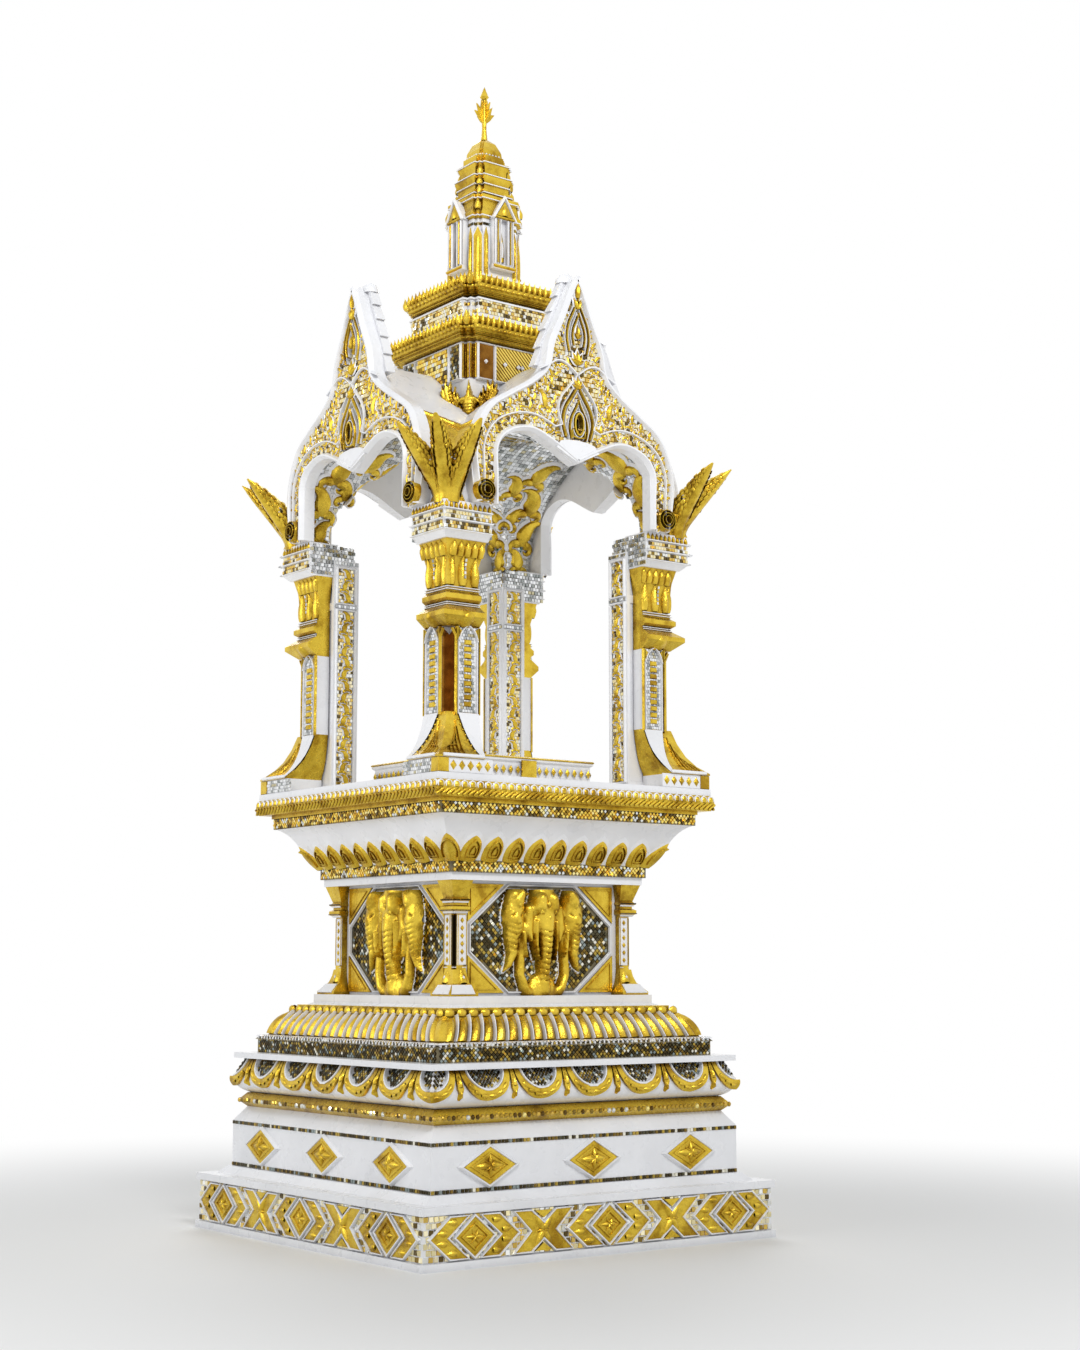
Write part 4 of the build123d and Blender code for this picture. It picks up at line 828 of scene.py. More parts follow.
class SHRINE_OT_block(bpy.types.Operator):
    """Edge the raised diamonds and set the thin mirror lines of the block"""
    bl_idname = "shrine.block"
    bl_label = "Block with diamonds"

    def execute(self, context):
        middle = (BLOCK_FOOT + BLOCK_TOP) / 2
        edges, carving = [], []
        leaves = ((0, 25), (52, 21), (90, 40), (128, 21), (180, 25), (232, 21), (270, 40), (308, 21))
        for x in (-DIAMOND_PITCH, 0, DIAMOND_PITCH):
            outline = lozenge(x, DIAMOND_HALF - 7, DIAMOND_RISE - 5)
            edges.append(bar(outline, 11, 9, closed=True, bevel=0.38))
            carving += [bar(lozenge(x, 50, 29), 5, 2.5, closed=True), rosette(x, leaves, 0.5, 6, 3, 9, 7)]
        carved("diamond_edges", edges, "white", wall(BLOCK_HALF, middle))
        carved("diamond_carving", carving, "gold", wall(BLOCK_HALF + 7, middle))
        places = []
        for level in (BLOCK_FOOT + 5, BLOCK_TOP - 5):
            places += tiles(wall(BLOCK_HALF, level), 2 * BLOCK_HALF, 9.5, 10, 9.5)
        copies("block_mirror_lines", block(8.8, 8.6, 2), places, "dark_mirror", tilt=0.05, seed=12)
        beads = tiles(wall(ROD_HALF - 1, ROD_FOOT + 0.45 * (ROD_TOP - ROD_FOOT)), 2 * ROD_HALF, 10, 13, 10)
        copies("rod_beads", ball(12, 13, 6, 6, 2), [(bead, (1, 1, 0.7)) for bead in beads], "amber_mirror",
               tilt=0.1, seed=19)
        return {"FINISHED"}


def arc_path(radius_x, radius_y, start, end, count, x, y):
    """A flat arc of an ellipse between two angles in degrees."""
    a = np.radians(np.linspace(start, end, count))
    return np.c_[x + radius_x * np.cos(a), y + radius_y * np.sin(a)]


def lancet(t):
    """Half width of a straight strip with a pointed top, from foot to tip."""
    return np.interp(t, [0, 0.72, 0.88, 1], [1, 1, 0.62, 0.03])


def teardrop(t):
    """Half width of a full, round petal with a small point, from foot to tip."""
    return np.interp(t, [0, 0.12, 0.3, 0.5, 0.7, 0.86, 0.95, 1],
                     [0.86, 0.96, 1, 0.97, 0.78, 0.48, 0.22, 0.03])


def cornered(shape, surface, level, read_at=0.0):
    """A flat form folded round the corner of a square course: x runs along the two faces from the corner."""
    points, faces = shape
    placed = []
    for u, v, rise in points:
        half, lean = front_of(surface, read_at, level + v)
        tip = radians(lean)
        blend = min(1.0, abs(u) / 9)
        out = Vector((-(1 - blend), -1.0, 0)).normalized() * cos(tip) - Vector((0, 0, sin(tip)))
        spot = Vector((-half + abs(u), -half, level + v)) + out * rise
        placed.append(spot if u >= 0 else Vector((spot.y, spot.x, spot.z)))
    return np.array(placed), faces


def stepped_course(profile, step, count):
    """A course with stepped corners, from its half width at each level. Its foot and top are open."""
    points = [(x, y, level) for half, level in profile for x, y in stepped_ring(half, step, count)]
    faces = tube_faces(len(profile), len(points) // len(profile))
    return np.array(points), [face[::-1] for face in faces]


class SHRINE_OT_garlands(bpy.types.Operator):
    """Rim the garlands in white, over dark mirror half-rounds"""
    bl_idname = "shrine.garlands"
    bl_label = "Garlands"

    def execute(self, context):
        surface = skin("garland_moulding")
        rims, places, carving = [], [], []
        limit = GARLAND_LEDGE_HALF - 4
        pitch = 9.5
        for k in range(SWAG_COUNT + 1):
            centre = (k - SWAG_COUNT / 2) * SWAG_PITCH
            path = arc_path(50, 43, 181, 359, 19, centre, SWAG_TOP - 3)
            path = path[np.abs(path[:, 0]) < limit - 4]
            if len(path) > 2:
                rims.append(laid(bar(path, 7, 10), surface))
            at_corner = k in (0, SWAG_COUNT)
            for row in range(10):
                y = -4 - row * pitch / 2
                half, lean = front_of(surface, 0, SWAG_TOP + y)
                for column in range(0 if at_corner else -5, 6):
                    away = (column + 0.5 * (row % 2)) * pitch
                    # Round the corner the rows are counted from the edge itself
                    spot = copysign(half - 5 - away, centre) if at_corner else centre + away
                    if ((spot - centre) / 47) ** 2 + (y / 41) ** 2 < 0.98:
                        places.append(wall(half, SWAG_TOP + y, lean, spot))
        carved("garland_rims", rims, "white")
        copies("garland_tiles", diamond(8.9, 8.9, 2.5, 0.82), places, "dark_mirror", tilt=0.1, seed=13)
        # Curled leaves carved along the swags and a drop between them
        swags = skin("garlands", "garland_moulding")
        for k in range(SWAG_COUNT):
            centre = (k + 0.5 - SWAG_COUNT / 2) * SWAG_PITCH
            for y, size in ((-22, 26), (-50, 21)):
                carving.append(laid(petal(0.6 * size, size, 5, ogee, rib=2, rows=7, across=5), swags,
                                    SWAG_TOP + y - 16, centre))
        for k in range(SWAG_COUNT + 1):
            centre = (k - SWAG_COUNT / 2) * SWAG_PITCH
            for turn in range(-60, 61, 20):
                a = radians(turn - 90)
                spot = (centre + 60 * cos(a), SWAG_TOP - 3 + 58 * sin(a))
                if abs(spot[0]) < limit - 12:
                    leaf = moved(petal(11, 20, 4, ogee, rib=1, rows=6, across=5),
                                 turned(turn + (74 if turn >= 0 else -74)))
                    carving.append(laid(moved(leaf, to(*spot)), swags))
        carved("garland_carving", carving, "gold")
        return {"FINISHED"}


class SHRINE_OT_bands(bpy.types.Operator):
    """Tile the mirror bands and friezes of the pedestal"""
    bl_idname = "shrine.bands"
    bl_label = "Mirror bands"

    def execute(self, context):
        tilt = context.scene.shrine_sizes.tilt
        pitch = 11
        lower = [wall(BAND_HALF, BAND_FOOT + 4.5 + y, 0, x)
                 for x, y in staggered(range(7), range(-36, 37), pitch, 5.6)]
        copies("lower_band_tiles", diamond(10.2, 10.2, 2.5, 0.82), lower, "dark_mirror", tilt=tilt, seed=14)
        teeth = [wall(BAND_HALF, BAND_TOP - 2, 0, (n - 28) * 14.2) @ turned(180) for n in range(57)]
        copies("band_teeth", petal(12.5, 13, 5, ogee, rows=4, across=3), teeth, "white")
        ledge = bar([(-BAND_HALF - 5, 0), (BAND_HALF + 5, 0)], 30, 4)
        carved("lower_band_ledge", [ledge], "white", to(0, 12 - BAND_HALF, BAND_TOP - 3))
        places = []
        for half, foot in ((LOWER_FRIEZE_HALF, FRIEZE_FOOT), (UPPER_FRIEZE_HALF, CORNICE_TOP)):
            reach = int(half / pitch)
            places += [wall(half, foot + 5.3 + y, 0, x)
                       for x, y in staggered(range(4), range(-reach, reach + 1), pitch, 5.7)
                       if abs(x) < half - 5]
        copies("frieze_tiles", diamond(10.4, 10.4, 3, 0.82), places, "gold_mirror", tilt=1.6 * tilt,
               seed=15)
        # The pedestal between the columns: a row of gold diamonds with a plate in the middle
        middle = (DECK_TOP + PEDESTAL_TOP) / 2 + 4
        studs = [wall(PEDESTAL_HALF, middle, 0, x) for x in np.arange(-187, 188, 22) if abs(x) > 30]
        copies("pedestal_diamonds", diamond(15, 22, 3, 0.5), studs, "gold")
        line = bar([(-PEDESTAL_HALF, 0), (PEDESTAL_HALF, 0)], 5, 3)
        plates = [moved(block(46, 50, 3, 0.94), wall(PEDESTAL_HALF, middle)),
                  moved(line, wall(PEDESTAL_HALF, PEDESTAL_TOP - 3))]
        carved("pedestal_plates", plates, "gold")
        return {"FINISHED"}


class SHRINE_OT_lotus(bpy.types.Operator):
    """Carve the lotus petals of the hollow moulding"""
    bl_idname = "shrine.lotus"
    bl_label = "Lotus petals"

    def execute(self, context):
        surface = skin("lotus_moulding")
        tops, ribs, places = [], [], []
        foot, top = LOTUS_FOOT + 3, LOTUS_TOP - 20
        count = 21
        pitch = 2 * (LOTUS_HALF - 6) / count
        for k in range(count):
            low = (k + 0.5 - count / 2) * pitch
            high = low * (NECK_OF_LOTUS + 16) / (LOTUS_HALF - 6)
            points, faces = petal(pitch - 7, top - foot, 8, tongue, rib=4, rows=8)
            share = points[:, 1] / (top - foot)
            points = np.c_[points[:, 0] * (1 - 0.12 * share) + low + (high - low) * share, points[:, 1:]]
            tops.append(laid((points, faces), surface, foot))
            if k < count - 1:
                path = [(low + 0.5 * pitch, -1), (0.5 * (low + high) + 0.5 * pitch - 1, 0.5 * (top - foot)),
                        (high + 0.46 * pitch, top - foot + 2)]
                ribs.append(laid(bar(smooth_path(path, 4), 5.5, 9), surface, foot))
            places.append(wall(NECK_OF_LOTUS + 16, top + 2, 0, high))
        tops.append(cornered(petal(54, top - foot, 7, tongue, rib=2, rows=8), surface, foot))
        carved("lotus_petals", tops, "gold")
        carved("lotus_ribs", ribs, "white")
        copies("lotus_tips", petal(27, 17, 6, tongue, rows=6, across=6), places, "gold")
        return {"FINISHED"}


def field_outline(inset=0.0):
    """The eight-sided field of the dado about its middle."""
    half, high = FIELD_HALF - inset, FIELD_RISE - inset
    flat, side = FIELD_FLAT - 0.4 * inset, FIELD_SIDE - 0.4 * inset
    return np.array([(-half, -side), (-flat, -high), (flat, -high), (half, -side), (half, side), (flat, high),
                     (-flat, high), (-half, side)], float)


class SHRINE_OT_dado(bpy.types.Operator):
    """Set the mosaic of the dado's fields, the gold spandrels and the strips of the pilasters"""
    bl_idname = "shrine.dado"
    bl_label = "Dado fields"

    def execute(self, context):
        sizes = context.scene.shrine_sizes
        middle = (DADO_FOOT + DADO_TOP) / 2
        face = wall(DADO_HALF, middle)
        outline = field_outline(7)
        pitch = 13.5
        places = [wall(DADO_HALF - 3, middle) @ to(x, y)
                  for x, y in staggered(range(-19, 20), range(-17, 18), pitch, 0.5 * pitch)
                  if within(x, y, outline)]
        copies("dado_tiles", diamond(pitch - 1.3, pitch - 1.3, 2.4, 0.84), places, "dark_mirror",
               tilt=sizes.tilt, seed=16)
        pilasters = skin("dado_pilasters")
        edges = [moved(bar(field_outline(0), 6, 6, closed=True), face)]
        gold, dark, studs = [], [], []
        for way in (-1, 1):
            for up in (-1, 1):
                corner = [(way * 113, up * 129), (way * 219, up * 129), (way * 219, up * 40)]
                gold.append(moved(plate(corner if way * up < 0 else corner[::-1], 4), face))
                inner = [(way * 135, up * 121), (way * 211, up * 121), (way * 211, up * 57)]
                gold.append(moved(bar(inner, 4, 6.5, closed=True), face))
            strip = wall(269, PILASTER_MIDDLE, 0, way * 245)
            edges.append(moved(block(28, 118, 1.5, 0.97), strip))
            for x in (-12, 12):
                gold.append(moved(bar([(x, -58), (x, 58)], 2.5, 3), strip))
            dark.append(moved(block(7.5, 116, 1.5, 0.97), wall(260, PILASTER_MIDDLE, 0, way * 264.5)))
            studs += [strip @ to(0, y, 1) for y in (-46, -27.6, -9.2, 9.2, 27.6, 46)]
            for level, width in ((777, 3), (801, 3.5), (648, 3)):
                edges.append(laid(bar([(way * 226, 0), (way * 284, 0)], width, 3), pilasters, level))
                dark.append(laid(bar([(way * 226, 0), (way * 284, 0)], 2.5, 2.5), pilasters, level + 4.5))
            foot = bar([(way * 228, 0), (way * 262, 0), (way * 296, 0)], 22, 2.5, bevel=0.06)
            edges.append(laid(foot, pilasters, 596))
            gold.append(laid(petal(26, 32, 5, spade, rib=2), pilasters, 610, way * 246))
            edges.append(laid(moved(diamond(10, 13, 7), to(0, 13)), pilasters, 610, way * 246))
        carved("dado_edges", edges, "white")
        carved("dado_spandrels", gold, "gold")
        carved("pilaster_notches", dark, "dark_mirror")
        copies("pilaster_diamonds", diamond(13, 16, 3, 0.5), studs, "gold")
        return {"FINISHED"}


class SHRINE_OT_cornice(bpy.types.Operator):
    """Carve the mango petals of the cornice"""
    bl_idname = "shrine.cornice"
    bl_label = "Cornice petals"

    def execute(self, context):
        surface = skin("petal_cornice")
        foot = CORNICE_FOOT + 1

        def ring(width, height, low, line, rise):
            """A raised line inside a petal, with the petal's own outline."""
            up = np.linspace(0, 1, 8)
            side = 0.5 * width * teardrop(up)
            loop = np.vstack([np.c_[side, low + height * up], np.c_[-side, low + height * up][::-1]])
            return bar(loop, line, rise, closed=True)

        gold, white = [], []
        for k in range(-4, 5):
            x = k * (PETAL_PITCH - 1)
            gold += [laid(form, surface, foot, x) for form in (
                petal(60, 60, 10, teardrop, rib=3, rows=12, across=9), ring(34, 38, 10, 3, 12),
                ring(16, 20, 16, 3, 14))]
            white.append(laid(petal(70, 68, 5, teardrop, rows=10, across=5), surface, foot - 0.5, x))
        gold += [cornered(form, surface, foot) for form in (
            petal(66, 60, 9, teardrop, rib=3, rows=12, across=11), ring(40, 38, 10, 3.5, 12))]
        white.append(cornered(petal(72, 66, 4, teardrop, rows=10, across=9), surface, foot - 0.5))
        carved("cornice_petals_gold", gold, "gold", nodes=("cornice_petals",))
        carved("cornice_petals_white", white, "white")
        return {"FINISHED"}


class SHRINE_OT_torus(bpy.types.Operator):
    """Braid the rope and set the teeth of the deck moulding"""
    bl_idname = "shrine.torus"
    bl_label = "Rope and teeth"

    def execute(self, context):
        surface = skin("deck_moulding")

        ropes, teeth = (
            [seat_on(surface, (k + 0.5 - count / 2) * 2 * TORUS_HALF / count, TORUS_FOOT + level, sink)
             for k in range(count)] for count, level, sink in ((56, 19, 2), (38, 30, 1)))
        strand = stroke([(-9, -7), (-3, -2), (3, 2), (9, 7)], [7, 9.5, 9.5, 7], 6)
        copies("rope_strands", strand, ropes, "gold")
        copies("torus_teeth", petal(17, 15, 5, tongue, rows=6, across=6), teeth, "gold")
        copies("torus_teeth_edges", petal(22, 17, 3, tongue, rows=5, across=5), teeth, "white")
        return {"FINISHED"}


def gable_edges():
    """The gable's outer and lobed inner edges, from the foot to the middle, as flat paths."""
    shape = ((0.05, 0), (0, 0.18), (0.04, 0.29), (0.15, 0.395), (0.345, 0.465), (0.55, 0.53),
             (0.69, 0.6), (0.735, 0.7), (0.84, 0.82), (0.94, 0.945), (1, 1))
    lobes = ((0, 0.0), (0, 0.12), (0, 0.227), (0.13, 0.29), (0.4, 0.317), (0.68, 0.28), (1, 0.216))
    height = GABLE_TOP - SPRINGING
    outer = smooth_path([(GABLE_HALF * (1 - a), SPRINGING + b * height) for a, b in shape], 6)
    inner = smooth_path([(OPENING_HALF * (1 - a), SPRINGING + b * height) for a, b in lobes], 6)
    return outer, inner


def aside(path, distance):
    """A flat path moved to its left."""
    return path + directions(path, False) * distance


def both_ways(shape):
    """A form and its mirror image."""
    return joined(shape, flipped(shape))


def plate(outline, rise):
    """A flat plate within an outline, from the wall out to the rise."""
    count = len(outline)
    cap = tessellate_polygon([[Vector((x, y, 0)) for x, y in outline]])
    points = [(x, y, z) for z in (0.0, rise) for x, y in outline]
    faces = [tuple(face) for face in cap] + [tuple(i + count for i in face) for face in cap]
    faces += [(i, (i + 1) % count, (i + 1) % count + count, i + count) for i in range(count)]
    return np.array(points, float), faces


def ring_of(path):
    """A half outline on the right, closed by its mirror image on the left."""
    path = np.array(path, float)
    return np.vstack([path, (path * (-1, 1))[::-1]])


def gable_ogee(half, foot, top):
    """Half of a flame-shaped arch, from its foot on the right up to its point."""
    high = top - foot
    shape = ((0.8, 0), (1, 0.25), (0.86, 0.5), (0.45, 0.72), (0.14, 0.88))
    return smooth_path([(a * half, foot + b * high) for a, b in shape] + [(0, top)], 4)


class SHRINE_OT_gables(bpy.types.Operator):
    """Dress the gables with tiles, white rims, scrolls and emblems"""
    bl_idname = "shrine.gables"
    bl_label = "Gables"

    def execute(self, context):
        sizes = context.scene.shrine_sizes
        outer, inner = gable_edges()
        front = wall(GABLE_FACE, 0)
        face = np.vstack([aside(outer, 8), (aside(outer, 8) * (-1, 1))[::-1], aside(inner, -7) * (-1, 1),
                          aside(inner, -7)[::-1]])
        carved("gable_beds", [plate(face, 0.8)], "gold", front)
        outline = np.vstack([aside(outer, 12), aside(inner, -12)[::-1]])
        places = []
        pitch = 11.5
        rows, columns = range(int((GABLE_TOP - SPRINGING) / pitch)), range(int(2 * GABLE_HALF / pitch) + 1)
        for x, z in staggered(rows, columns, pitch, pitch):
            x, z = x - GABLE_HALF, SPRINGING + (z + pitch / 2)
            if within(abs(x) + 0.01, z, outline):
                places.append(front @ to(x, z, 0.8))
        copies("gable_tiles", block(10.2, 10.2, 2.4), places, "pale_mirror", tilt=sizes.tilt, seed=17)
        self.rims(front, outer, inner)
        self.scrolls(front, outer, outline)
        self.emblems(front)
        return {"FINISHED"}

    def rims(self, front, outer, inner):
        """White edges, the line over the lobes and the smooth white tongue under the emblem."""
        line = aside(inner, -44)
        line = line[line[:, 0] > 66]
        line = np.vstack([line, gable_ogee(60, line[-1, 1] + 8, 2098)])
        wave = smooth_path([(118, 2092), (92, 2104), (62, 2122), (34, 2118), (0, 2094)], 4)
        tongue = ring_of([(0, 1873), (34, 1888), (66, 1903), (52, 1921), (30, 1926), (0, 1928)])
        white = [both_ways(bar(path, width, rise, bevel=bevel)) for path, width, rise, bevel in (
            (aside(outer, 8), 17, 12, 0.38), (aside(inner, -8), 17, 12, 0.38), (line, 6.5, 10, 0.3),
            (wave, 8, 11, 0.3))] + [plate(tongue[:-1], 9)]
        knob = moved(ball(56, 44, 30, 14, 6), to(0, 42 - GABLE_FACE, GABLE_TOP - 12))
        carved("gable_rims", [moved(joined(*white), front), knob], "white")

    def scrolls(self, front, outer, outline):
        """A carpet of white-edged gold scrolls between the rims, with round scrolls along the top edge."""
        right, left = [], []
        step = 27
        for row in range(int((GABLE_TOP - SPRINGING) / step) + 1):
            for column in range(13):
                x = 12 + (column + 0.5 * (row % 2)) * step
                z = SPRINGING + 6 + row * step * 0.9
                near = np.hypot(*(outer - (x, z)).T)
                k = int(near.argmin())
                in_emblem = x < 62 and 1915 < z < 2098 or x < 40 and 2098 < z < 2290
                if in_emblem or near[k] < 34 or not within(x, z, outline):
                    continue
                ahead = outer[min(k + 2, len(outer) - 1)] - outer[max(k - 2, 0)]
                heading = degrees(atan2(ahead[1], ahead[0])) - 90 - 24 + 30 * ((row + column) % 3)
                size = 31 if (row + column) % 2 else 27
                (right if (row + column) % 2 else left).append((x, z, heading, size))
        spots, headings = evenly(aside(outer, 30), 33)
        for (x, z), heading in zip(spots, headings):
            if x > 10:
                right.append((x, z - 4, heading - 90 - 42, 33))
        for x, z, turn, size in ((100, 1996, 6, 60), (84, 1950, 40, 40), (34, 2112, 34, 34)):
            right.append((x, z, turn, size))
        right, left = ([(front @ to(way * x, z, 2) @ turned(way * turn), (way * size, size, size))
                        for x, z, turn, size in spots for way in (1, -1)] for spots in (right, left))
        scroll_pair("gable", flame(1, count=7), flame(1, edge=0.055, count=6), right, left)

    def emblems(self, front):
        """The niche over the cusp, its leaf crown, and the drop-shaped emblem of the spire."""
        gold, white = [], []
        for half, foot, top, width, rise in ((46, 1934, 2072, 12, 12), (27, 1930, 2030, 9, 15),
                                             (34, 2150, 2290, 9, 12), (19, 2166, 2252, 8, 16)):
            path = gable_ogee(half, foot, top)
            gold.append(both_ways(bar(path, width, rise, bevel=0.42)))
            white += [both_ways(bar(aside(path, share * width), 4, 0.7 * rise)) for share in (-0.62, 0.62)]
        for z, reach, turn in (
                (2058, 36, 0), (2060, 30, 30), (2058, 24, 60), (2120, 40, 0), (2122, 34, 28),
                (2120, 28, 56), (2290, 50, 0), (2262, 34, 24), (2190, 36, 0), (2186, 22, 40)):
            for lean in sorted({turn, -turn}, reverse=True):
                seat = to(0, z, 6) @ turned(lean)
                gold.append(moved(petal(0.44 * reach, reach, 9, ogee, rib=3), seat))
                white.append(moved(petal(0.62 * reach, 1.12 * reach, 4, ogee, rows=6, across=5), seat))
        gold.append(both_ways(bar([(0, 1934), (18, 1936), (20, 1950), (13, 1962)], 7, 13)))
        niche = 1968
        gold.append(bar(arc_path(13, 27, 0, 360, 21, 0, niche)[:-1], 9, 16, closed=True))
        white.append(bar(arc_path(19, 33, 0, 360, 21, 0, niche)[:-1], 5, 13, closed=True))
        carved("gable_emblems", gold, "gold", front)
        carved("gable_emblem_edges", white, "white", front)
        carved("gable_niches", [moved(diamond(11, 38, 9, 0.6), to(0, niche, 2))], "dark_mirror", front)
        # Ring scrolls at the gables' feet
        rings = [both_ways(bar(arc_path(r, r, 0, 360, 21, 280, 1765)[:-1], 6, high, closed=True, bevel=0.42))
                 for r, high in ((26, 17), (18, 20), (10, 22))]
        carved("gable_foot_scrolls", rings, "gold", front)


def swelling(xs, ys, path, widths, rise, ends=None):
    """Height over a grid of points of a half-round stroke along a path."""
    path = np.array(path, float)
    ends = ends or [rise] * len(path)
    height = np.zeros_like(xs)
    for a, b, wide_a, wide_b, high_a, high_b in zip(path, path[1:], widths, widths[1:], ends, ends[1:]):
        run = b - a
        t = np.clip(((xs - a[0]) * run[0] + (ys - a[1]) * run[1]) / max(run @ run, 1e-9), 0, 1)
        away = np.hypot(xs - a[0] - t * run[0], ys - a[1] - t * run[1])
        half = 0.5 * (wide_a + t * (wide_b - wide_a))
        dome = np.sqrt(np.clip(1 - (away / half) ** 2, 0, 1))
        height = np.maximum(height, (high_a + t * (high_b - high_a)) * dome)
    return height


def relief(strokes, left, foot, width, height, pitch, lines=(), blend=5.0):
    """A carved relief: strokes swell into each other, and lines are cut into them."""
    across, up = int(width / pitch) + 1, int(height / pitch) + 1
    xs, ys = np.meshgrid(left + np.arange(across) * pitch, foot + np.arange(up) * pitch)
    total = sum(swelling(xs, ys, *s) ** blend for s in strokes) ** (1 / blend)
    shown = total > 0.4
    for path, wide, deep in lines:
        total = total - swelling(xs, ys, path, [wide] * len(path), deep) * (total > deep)
    points = np.c_[xs.ravel(), ys.ravel(), np.where(shown, total, -2.0).ravel()]
    flat = shown.ravel()
    faces = [face for face in grid_faces(up, across) if any(flat[i] for i in face)]
    used = sorted({i for face in faces for i in face})
    index = {old: new for new, old in enumerate(used)}
    return points[used], [tuple(index[i] for i in face) for face in faces]


def both_sides(strokes):
    """Strokes and their mirror images."""
    return strokes + [([(-x, y) for x, y in path], *rest) for path, *rest in strokes]


class SHRINE_OT_elephants(bpy.types.Operator):
    """Carve the three-headed elephants of the dado"""
    bl_idname = "shrine.elephants"
    bl_label = "Elephants"

    def execute(self, context):
        middle = [([(0, 250), (0, 205), (0, 165)], [70, 92, 70], 36),
                  ([(0, 190), (0, 130), (0, 60), (0, 12)], [58, 44, 34, 38], 40, [38, 44, 34, 26]),
                  ([(0, 4), (0, 10)], [96, 92], 24)]
        sides = both_sides([
            ([(19, 232), (20, 214)], [38, 44], 43),
            ([(30, 176), (30, 120), (24, 84)], [15, 12, 3], 34),
            ([(44, 205), (47, 160), (42, 132)], [34, 40, 12], 27),
            ([(84, 234), (88, 196), (86, 160)], [52, 64, 48], 33),
            ([(74, 246), (84, 226)], [26, 40], 36),
            ([(92, 180), (94, 130), (92, 100), (102, 72), (114, 58)], [50, 38, 28, 18, 6], 31,
             [33, 30, 25, 18, 9]),
            ([(66, 150), (62, 112), (56, 92)], [15, 12, 3], 30),
            ([(62, 160), (66, 96), (68, 50), (56, 20), (46, 8)], [34, 28, 26, 28, 34], 22,
             [20, 20, 22, 24, 22]),
            ([(108, 214), (110, 180), (104, 150)], [18, 26, 8], 20),
        ])
        creases = [([(-20, y), (0, y - 5), (20, y)], 3, 3) for y in range(40, 160, 13)]
        creases += [([(s * 82, y), (s * 94, y - 4), (s * 108, y + 3)], 3, 3) for s in (-1, 1)
                    for y in range(112, 178, 12)]
        creases += [([(s * x, 196), (s * (x + 9), 190)], 4, 4) for s in (-1, 1) for x in (22, 72, 96)]
        shape = relief(middle + sides, -121, -1, 242, 256, 2.6, creases)
        studs = []
        for x, y, turn, high in ((0, 218, 0, 41), (-20, 200, 40, 40), (20, 200, -40, 40), (0, 186, 0, 42),
                                 (86, 216, 0, 36), (-86, 216, 0, 36)):
            studs.append(moved(diamond(15, 19, 5, 0.4), to(x, y, high - 3) @ turned(turn)))
        points, faces = joined(shape, *studs)
        points[:, 2] = np.minimum(points[:, 2], FOOT_OF_SLAB - (DADO_HALF - 3))
        points[:, 1] = np.clip(points[:, 1], 0, None)
        wide = [(path, [w + 9 for w in widths], 4.5) for path, widths, *_ in middle[:2] + sides]
        seat = wall(DADO_HALF - 3, DADO_FOOT)
        carved("elephant_outlines", [relief(wide, -126, 0, 252, 256, 4)], "white", seat, smooth=60)
        carved("elephant_groups", [(points, faces)], "gold", seat, nodes=("elephants",), smooth=60)
        return {"FINISHED"}


class SHRINE_OT_piers(bpy.types.Operator):
    """Carve scrolls on tiles in the panels of the piers"""
    bl_idname = "shrine.piers"
    bl_label = "Piers"

    def execute(self, context):
        beds, right, left, lines, heads = [], [], [], [], []
        # Frames of the piers' two faces that look into the hall, with their origins at the pier's foot
        faces = [quarter(k) @ wall(PIER_WIDTH / 2 - PIER_CENTRE, DECK_TOP, 0, way * PIER_CENTRE)
                 for k in range(SIDES) for way in (-1, 1)]
        for face in faces:
            for foot, height in ((20, 454), (494, 91)):
                seat = face @ to(0, foot + height / 2, -3)
                beds += tiles(seat, PANEL_WIDTH - 2, height - 2, 9, 9)
                count = round(height / 31)
                for n in range(count):
                    at = face @ to(-6 if n % 2 else 6, foot + (n + 0.1) * height / count, -1)
                    (right if n % 2 else left).append((at, (42, 37, 42)))
            for x in (-PANEL_WIDTH / 2 - 1, PANEL_WIDTH / 2 + 1):
                for low, high in ((17, 477), (491, 588)):
                    lines.append(moved(bar([(x, low), (x, high)], 8, 5), face))
            for y in (18, 476, 492, 587):
                lines.append(moved(bar([(-PANEL_WIDTH / 2, y), (PANEL_WIDTH / 2, y)], 6, 5), face))
            for y in (484, 598):
                heads += tiles(face @ to(0, y), PIER_WIDTH - 6, 10, 9, 9)
        copies("pier_tiles", block(8.4, 8.4, 2), beds, "pale_mirror", sides=1, tilt=0.08, seed=21)
        copies("pier_dividers", block(8, 8, 3), heads, "silver_mirror", sides=1, tilt=0.08, seed=22)
        scroll_pair("pier", flame(1, 1.25), flame(1, 1.25, 0.06, 7), right, left, sides=1)
        carved("pier_edges", lines, "white", sides=1)
        return {"FINISHED"}


def stepped_ring(half, step, count):
    """The plan of a square course whose corners step back, as a closed path."""
    side = [(half - (count - n) * step, -half + m * step) for n in range(count + 1) for m in (n, n + 1)]
    return np.vstack([spun(side[:-1], turn=90 * k) for k in range(SIDES)])


